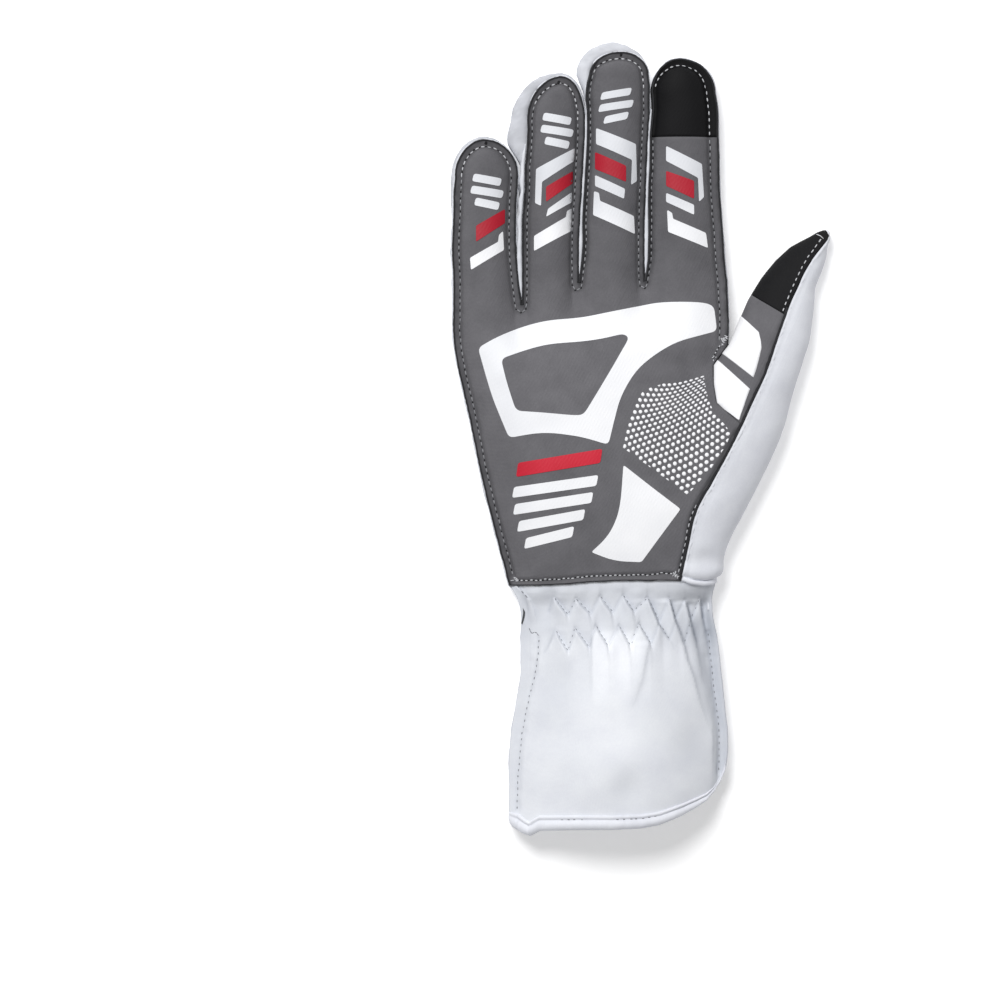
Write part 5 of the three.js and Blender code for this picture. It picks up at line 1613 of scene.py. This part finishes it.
# The grip dots' rows bend and close up with the cloth. Guide dots, in pixels of the photograph:
# dot i of each row runs up to the left, dot j across to the right.
GUIDE_I = (0, 5, 10, 15, 20)
GUIDE_J = (-4, 1, 6, 11, 16)
GUIDE_DOTS = [
    [(661.9, 500.9), (691.8, 490.0), (722.4, 471.4), (753.0, 442.7), (787.6, 407.0)],
    [(642.0, 477.2), (668.8, 466.0), (696.0, 453.6), (721.9, 437.6), (749.6, 421.1)],
    [(623.0, 454.1), (648.8, 442.4), (675.4, 431.2), (700.1, 418.2), (725.2, 406.6)],
    [(606.6, 422.2), (632.1, 418.8), (659.4, 413.1), (685.1, 402.6), (710.5, 390.6)],
    [(592.4, 352.4), (616.8, 375.5), (644.7, 388.6), (672.0, 389.2), (699.0, 380.8)],
]
DOT_RADIUS = 2.15  # pixels, where the cloth lies flat


def bars(centre, sizes, pitch, slant, tilt):
    """A plain grip pad of slanted bars, one below another; sizes are their widths in pixels."""
    out = []
    for n, width in enumerate(sizes):
        x, y = centre[0] + slant * n, centre[1] + (n - (len(sizes) - 1) / 2) * pitch
        half, thick = width / 2, pitch * 0.32
        out.append([(x - half, y - thick + tilt), (x + half, y - thick - tilt),
                    (x + half - 2, y + thick - tilt), (x - half - 2, y + thick + tilt)])
    return out


def print_greying(points, start=78):
    """The prints are a little greyed up the fingers from the start, and at the palm's left edge."""
    x, y, _ = points.T
    upper = 0.42 * ease((y - start) / 16)
    left = 0.2 * ease((-38 - x) / 14) * (1 - ease((y - 45) / 10))
    return 0.1 + upper + left + 0.08 * ripple(points, 14, 31)


def red_print_greying(points):
    return print_greying(points, 62)


palm = SURFACES["palm_panel_cloth"]


def printed(name, films, material, shade_and_wear=print_greying):
    new_piece(name, join(films), material, shade_and_wear=shade_and_wear, sharp=True)


def on_palm(outlines, radius=0.9):
    """Prints on the palm from their outlines in the photograph, with rounded corners."""
    return [film(rounded(from_photo(outline), radius), palm) for outline in outlines]


printed("finger_marks_white", on_palm(FINGER_PRINTS["print_white"], 0.45), "print_white")
printed("finger_marks_red", on_palm(FINGER_PRINTS["print_red"], 0.45), "print_red", red_print_greying)
pads = bars((617, 106), (30, 34, 24), 12, 0, 2.5) + bars((558, 131), (28, 32, 24), 12, 0, -2.5)
pads += bars((488, 192), (28, 32, 24), 12, 0, -2.5)
printed("fingertip_pads", on_palm(pads), "print_white")
heel_bars = bars((556, 512), (84, 78, 66, 48), 17, -2, 6)
printed("heel_pad_white", on_palm(heel_bars + [HEEL_PATCH]), "print_white")
printed("heel_pad_red", on_palm(bars((560, 463), (84,), 22, 0, 7)), "print_red")
window = rounded(from_photo(BAND_WINDOW), 2.2)
printed("palm_band", [film(rounded(from_photo(BAND), 2.0), palm, window=window)], "print_white")


def dot_disc(outline, surface):
    """A raised printed dot with the given outline."""
    centre = outline.mean(axis=0)
    heights = [height_on(surface, *place) for place in [centre, *outline]]
    if None in heights:
        return None
    around = len(outline)
    dot = [(*centre, heights[0] + 0.32)]
    for share, rise in ((0.62, 0.28), (1.0, 0.1), (1.0, -0.2)):
        for place, z in zip(outline, heights[1:]):
            dot.append((*mix(centre, place, share), mix(heights[0], z, share) + rise))
    faces = []
    for k in range(around):
        n = (k + 1) % around
        faces.append([0, 1 + k, 1 + n])
        faces.append([1 + k, 1 + around + k, 1 + around + n, 1 + n])
        faces.append([1 + around + k, 1 + 2 * around + k, 1 + 2 * around + n, 1 + around + n])
    faces.append([1 + 2 * around + k for k in range(around)][::-1])
    return dot, faces


def shares_of(keys, at):
    """How much each guide counts at a place between them, for a curve through them all."""
    return np.array([
        math.prod((at - other) / (key - other) for other in keys if other != key) for key in keys
    ])


def dot_place(i, j):
    """The middle of a grip dot, in pixels of the photograph."""
    return np.einsum("a,b,abk->k", shares_of(GUIDE_I, i), shares_of(GUIDE_J, j), np.array(GUIDE_DOTS))


def dot_steps(i, j):
    """The steps to the next dot along both rows, as the columns of a matrix."""
    along = dot_place(i + 0.5, j) - dot_place(i - 0.5, j)
    across = dot_place(i, j + 0.5) - dot_place(i, j - 0.5)
    return np.column_stack([along, across])


def grip_dots():
    """Rows of round dots over the ball of the thumb, narrowed where the cloth curves away and
    cut off at the zone's border."""
    zone = np.array(from_photo(GRIP_ZONE))
    border = resample(np.vstack([zone, zone[:1]]), 0.15)
    border_tree = tree_of(border)
    flat = np.linalg.inv(dot_steps(2, 1))
    turns = np.linspace(0, 2 * math.pi, 15)[:-1]
    circle = DOT_RADIUS * np.stack([np.cos(turns), np.sin(turns)])
    meshes = []
    for i in range(-1, 22):
        for j in range(-4, 18):
            drawn = dot_place(i, j)[:, None] + dot_steps(i, j) @ flat @ circle
            outline = np.array(from_photo(drawn.T))
            kept = inside(outline, zone)
            if kept.sum() < 5:
                continue
            for n in np.flatnonzero(~kept):
                outline[n] = border[border_tree.find((*outline[n], 0))[1]]
            made = dot_disc(outline, palm)
            if made:
                meshes.append(made)
    return join(meshes)


new_piece("grip_dots", grip_dots(), "print_white")

# White patches that run over the thumb's side: their upper, lower and right edge, in pixels of
# the photograph.
THUMB_PATCHES = [
    ([(742.9, 317), (760, 334)], [(722.1, 353.6), (752.9, 377.9)],
     [(758.6, 332.9), (761.5, 338.5), (762.9, 344.3), (758.5, 361), (752.9, 377.9)]),
    ([(720.7, 362.9), (749.3, 389.3)], [(717, 403.6), (737, 420)],
     [(749.3, 389.3), (743.5, 404.5), (737, 420)]),
]


def thumb_column(x, y):
    """Where a place lies round the thumb's front, from 0 at its ridge to 1 at its contour."""
    ridge, contour = float(thumb("ridge", y)), float(thumb("left", y))
    return math.asin(max(0, min(1, (ridge - x) / (ridge - contour)))) / (math.pi / 2)


def thumb_crossing(line, c):
    """How far up the glove a line in plan crosses one column of the thumb's front."""
    (x0, y0), (x1, y1) = line
    y = (y0 + y1) / 2
    for _ in range(12):
        ridge, contour = float(thumb("ridge", y)), float(thumb("left", y))
        x = mix(ridge, contour, math.sin(math.pi / 2 * min(1, c)))
        y = mix(y, y0 + (y1 - y0) * (x - x0) / (x1 - x0), 0.6)
    return y


def thumb_patch(edges):
    """A grid on the thumb's front, from the patch's right edge to the thumb's contour."""
    upper, lower, right = (from_photo(edge) for edge in edges)
    corners = resample(right, 0.1)
    rows = []
    for t in np.linspace(0, 1, 30):
        start = thumb_column(*corners[int(round(t * (len(corners) - 1)))])
        columns = mix(start, 1.0, np.linspace(0, 1, 26))
        heights = [mix(thumb_crossing(upper, c), thumb_crossing(lower, c), t) for c in columns]
        rows.append(thumb_section(heights, True, columns))
    return np.array(rows)


def patch_relief(points):
    return palm_relief(points) + 0.14


patches = [cloth_shell([thumb_patch(edges)], patch_relief, 0.3)[:2] for edges in THUMB_PATCHES]
new_piece("thumb_patches", join(patches), "print_white")


# Stripes on the back. Columns: x and y in the units of their own drawing, in which the back
# faces up, and width in millimetres.
BACK_STRIPES = [
    ("dark", [(278, 239, 5.4), (245, 266, 5.4), (221, 305, 5.4), (214, 321, 5.0)]),
    ("dark", [(196, 329, 5.0), (173, 367, 5.4), (167, 392, 5.4), (175, 433, 5.4), (184, 469, 5.4),
              (251, 471, 5.4), (318, 474, 5.4), (391, 480, 5.4), (439, 491, 5.4)]),
    ("red", [(251, 290, 1.0), (247, 300, 3.6), (251, 336, 3.8), (255, 372, 3.8), (261, 443, 3.6),
             (318, 449, 3.4), (379, 455, 3.1), (422, 462, 2.9), (436, 469, 2.8)]),
    ("dark", [(177, 553, 4.0), (240, 553, 4.0), (300, 554, 4.2), (360, 555, 6.0), (363, 576, 8.0),
              (374, 636, 8.4), (376, 659, 8.4), (344, 697, 8.0), (319, 754, 6.5), (296, 824, 4.6),
              (293, 879, 3.4), (290, 942, 2.6)]),
    ("red", [(413, 521, 2.9), (412, 590, 2.9), (411, 652, 2.9), (406, 671, 2.9), (395, 703, 2.9),
             (370, 773, 2.9), (344, 847, 2.9), (328, 894, 2.8), (320, 936, 2.6)]),
]
# Middle of the hem and tip of the middle finger, in that drawing and in the photograph.
DRAWN_HEM, DRAWN_TIP = complex(365, 930), complex(315, 150)
HEM_PX, TIP_PX = complex(612, 830), complex(612, 42)


def from_drawing(points):
    """A place in the stripes' drawing as the same place on the glove."""
    turn = (TIP_PX - HEM_PX) / (DRAWN_TIP - DRAWN_HEM)
    places = [(complex(x, y) - DRAWN_HEM) * turn for x, y in points]
    return from_photo([(p.real + HEM_PX.real, p.imag + HEM_PX.imag) for p in places])


def stripe_outline(line):
    """The outline of a stripe from its middle line and widths, with mitred corners."""
    middle = np.array(from_drawing([(x, y) for x, y, _ in line]))
    widths = np.array([w for _, _, w in line])
    ways = np.diff(middle, axis=0)
    ways /= np.linalg.norm(ways, axis=1, keepdims=True)
    sides = np.column_stack([-ways[:, 1], ways[:, 0]])
    offsets = []
    for i in range(len(middle)):
        before, after = sides[max(0, i - 1)], sides[min(i, len(sides) - 1)]
        mean = before + after
        mean /= np.linalg.norm(mean)
        offsets.append(mean / max(0.5, float(mean @ after)))
    offsets = np.array(offsets) * widths[:, None] / 2
    return np.vstack([middle + offsets, (middle - offsets)[::-1]])


def on_flat(outline):
    """An outline kept on the flat part of the back, off its rounded left edge."""
    x, y = resample(np.vstack([outline, outline[:1]]), 1.0)[:-1].T
    left = np.where(y < WRIST_Y, cuff_left(y), palm_left(y)) + EDGE_RADIUS
    return np.column_stack([np.maximum(x, left), y])


back = SURFACES["back_panel_cloth"]
for colour in ("dark", "red"):
    films = [
        film(on_flat(rounded(stripe_outline(line), 0.5)), back, lift=0.06, from_below=True)
        for kind, line in BACK_STRIPES if kind == colour
    ]
    new_piece("back_stripes_" + colour, join(films), "print_" + colour)


# Stitches

THREAD = 0.46
TIP_STITCHES_Y = 133  # beside the middle finger the patch's own stitches start only here
light_bars, side_bars, holes = [], [], []
on_patch = [i for i, (x, y) in enumerate(STITCHES) if x > 3 and y > TOUCH_CUT_Y]
patch_start = next(i for i in on_patch if STITCHES[i][1] > TIP_STITCHES_Y)
SEAM_PARTS = [
    ("palm_panel_cloth", STITCHES[:on_patch[0]]),
    ("index_touch_cloth", STITCHES[patch_start:on_patch[-1] + 1]),
    ("palm_panel_cloth", STITCHES[on_patch[-1] + 1:]),
]


def at_tip(place):
    """Whether a stitch lies in the round of one of the fingertips."""
    return any(np.hypot(place[0] - f["tip"][0], place[1] - f["tip"][1] + 9) < 10.5 for f in FINGERS)


# The thread is light round the fingertips and darker along the fingers' sides.
for cloth_name, part in SEAM_PARTS:
    start = 0
    for n in range(1, len(part) + 1):
        if n == len(part) or at_tip(part[n]) != at_tip(part[start]):
            light = at_tip(part[start]) or cloth_name == "index_touch_cloth"
            target = light_bars if light else side_bars
            target += stitch_run(
                part[max(0, start - 1):n], SURFACES[cloth_name], 2.5, 1.5, THREAD, 0.06, slack=0.08,
                holes=holes)
            start = n
light_bars += stitch_run(WRIST_STITCHES, palm, 1.75, 1.0, THREAD, 0.08, slack=0.1, holes=holes)
thumb_line = [p for p in THUMB_STITCHES if p[1] < -24]
light_bars += stitch_run(thumb_line, palm, 2.5, 1.4, THREAD, 0.08, slack=0.12, holes=holes)
new_piece("palm_stitches", join(light_bars), "thread")
new_piece("finger_side_stitches", join(side_bars), "thread_side")

tip_line = from_photo([
    (781.8, 312.9), (787, 300), (792, 288.6), (798.6, 274.3), (805, 261.4), (812.9, 250.7),
    (822.5, 237.5),
])
touch_surface = SURFACES["thumb_touch_cloth"]
tip_bars = stitch_run(tip_line, touch_surface, 2.5, 1.5, THREAD, 0.08)
for ends in ([(817.5, 233.5), (821, 235.2)], [(820.5, 234.5), (824, 238)]):
    tip_bars += stitch_run(from_photo(ends), touch_surface, 2.4, 2.0, 0.36, 0.1)
new_piece("thumb_tip_stitches", join(tip_bars), "thread")

fold_line = from_photo([(720.7, 344.5), (716.5, 350.5), (712.8, 358.6), (715.5, 366)])
fold_end = from_photo([(711, 358), (721.5, 356.8)])
wrist_end = from_photo([(675.2, 570.5), (674.6, 576), (675.6, 581)])
tacks = stitch_run(fold_line, palm, 1.5, 0.8, THREAD, 0.1, holes=holes)
tacks += stitch_run(fold_end, palm, 1.5, 0.7, 0.36, 0.1)
tacks += stitch_run(wrist_end, palm, 1.4, 1.1, 0.5, 0.15)
# Where the thread was fastened off. Columns: two places in pixels of the photograph, how far
# loose ends lie off the line between them in millimetres, and how many there are.
LOOSE_ENDS = [
    ((722, 343), (733, 332), 0.5, 22),
    ((514.5, 580.5), (516, 579.5), 0.45, 5),
    ((673, 577.5), (677, 574), 0.5, 9),
]
for start, stop, spread, count in LOOSE_ENDS:
    line = np.array(from_photo([start, stop]))
    for _ in range(count):
        at = mix(line[0], line[1], draw.random()) + np.array([draw.gauss(0, spread), draw.gauss(0, spread)])
        turn = draw.uniform(0, math.pi)
        half = draw.uniform(0.4, 0.9) * np.array([math.cos(turn), math.sin(turn)])
        ends = [at - half, at + half]
        z = [height_on(palm, *e) for e in ends]
        if None not in z:
            tacks.append(capsule((*ends[0], z[0] + 0.15), (*ends[1], z[1] + 0.15), 0.34, 0.28))
new_piece("fastening_tacks", join(tacks), "thread")

# A small notch at the end of each fingertip's seam, a dark mark of painted shade.
for x, y in from_photo([(486, 143), (559, 81.8), (621, 54.8)]):
    holes += needle_hole_shade(np.array((x, y)), np.array((0.35, 0.94)), palm, 1.5)
new_piece("needle_hole_shades", join(holes), "hole_shade")

# Of the zigzags some legs show their thread well, some a little, and the others none.
cuff_surface = SURFACES["cuff_panel_cloth"]
grey = []
for path in ZIGZAGS:
    for n, leg in enumerate(zip(path, path[1:])):
        if n % 2 == 1 and leg[0][0] < 12:
            grey += stitch_run(leg, cuff_surface, 1.9, 1.0, 0.3, 0.03, slack=0.1)
        elif n % 6 == 2:
            grey += stitch_run(leg, cuff_surface, 2.6, 0.7, 0.26, 0.02, slack=0.1)
for path in CUFF_STITCHES:
    grey += stitch_run(path, cuff_surface, 2.4, 1.0, 0.3, 0.02, slack=0.08)
# The binding's stitches show along two stretches of its dent.
for start, end in ((561, 586), (616, 657)):
    (low, _), (high, _) = from_photo([(start, 0), (end, 0)])
    for x in np.arange(low, high, 2.4):
        x += draw.uniform(-0.3, 0.3)
        grey.append(capsule(hem_groove(x), hem_groove(x + draw.uniform(0.7, 1.2)), 0.3, 0.3))
wrist_corner = from_photo([(516, 585), (521, 590.5), (528.5, 599)])
grey += stitch_run(wrist_corner, cuff_surface, 2.2, 1.3, 0.32, 0.03)
# A small M where the left side seam starts.
left_end = from_photo([(529, 628), (531.3, 633.5), (536, 631.7), (538.7, 635.7)])
grey += stitch_run(left_end, cuff_surface, 1.2, 1.1, 0.3, 0.02)
new_piece("cuff_stitches", join(grey), "thread_painted_grey")

# Lights, floor and camera

floor = bpy.data.meshes.new("floor")
floor.from_pydata([(-3, -3, 0), (3, -3, 0), (3, 3, 0), (-3, 3, 0)], [], [[0, 1, 2, 3]])
floor_piece = bpy.data.objects.new("floor", floor)
floor_piece.location = (0, 0, -0.0002)
bpy.context.scene.collection.objects.link(floor_piece)
pale, _, _, pale_surface = shader("floor")
pale_surface.inputs["Base Color"].default_value = (0.92, 0.92, 0.925, 1)
pale_surface.inputs["Roughness"].default_value = 0.9
pale_surface.inputs["Specular IOR Level"].default_value = 0.1
pale_surface.inputs["Emission Color"].default_value = (1, 1, 1, 1)
pale_surface.inputs["Emission Strength"].default_value = 0.32
floor.materials.append(pale)


def area_light(name, location, target, size, power):
    light = bpy.data.lights.new(name, "AREA")
    light.shape = "DISK"
    light.size = size
    light.energy = power
    lamp = bpy.data.objects.new(name, light)
    lamp.location = location
    lamp.rotation_mode = "QUATERNION"
    lamp.rotation_quaternion = (Vector(target) - Vector(location)).to_track_quat("-Z", "Y")
    bpy.context.scene.collection.objects.link(lamp)


area_light("key", (-0.5, 1.0, 1.75), (0, 0, 0), 1.0, 38)
area_light("fill", (0.9, -0.5, 1.8), (0, 0, 0), 1.6, 1.5)
world = bpy.data.worlds.new("studio")
world.use_nodes = True
world.node_tree.nodes["Background"].inputs["Color"].default_value = (1, 1, 1, 1)
world.node_tree.nodes["Background"].inputs["Strength"].default_value = 0.3
bpy.context.scene.world = world
bpy.context.scene.view_settings.view_transform = "Standard"

# Straight above the glove, and framed so that a pixel of the picture is one of the photograph
# halfway up the glove.
LENS, SENSOR = 220, 36
FRAME_WIDTH = 1000 * PIXEL * MM
FOCUS_Z = 0.013
camera_data = bpy.data.cameras.new("camera")
camera_data.lens = LENS
camera_data.sensor_width = SENSOR
camera = bpy.data.objects.new("camera", camera_data)
middle = from_photo([(500, 500)])[0]
camera.location = (middle[0] * MM, middle[1] * MM, FOCUS_Z + FRAME_WIDTH * LENS / SENSOR)
camera_data.clip_start, camera_data.clip_end = 0.05, 20
bpy.context.scene.collection.objects.link(camera)
bpy.context.scene.camera = camera
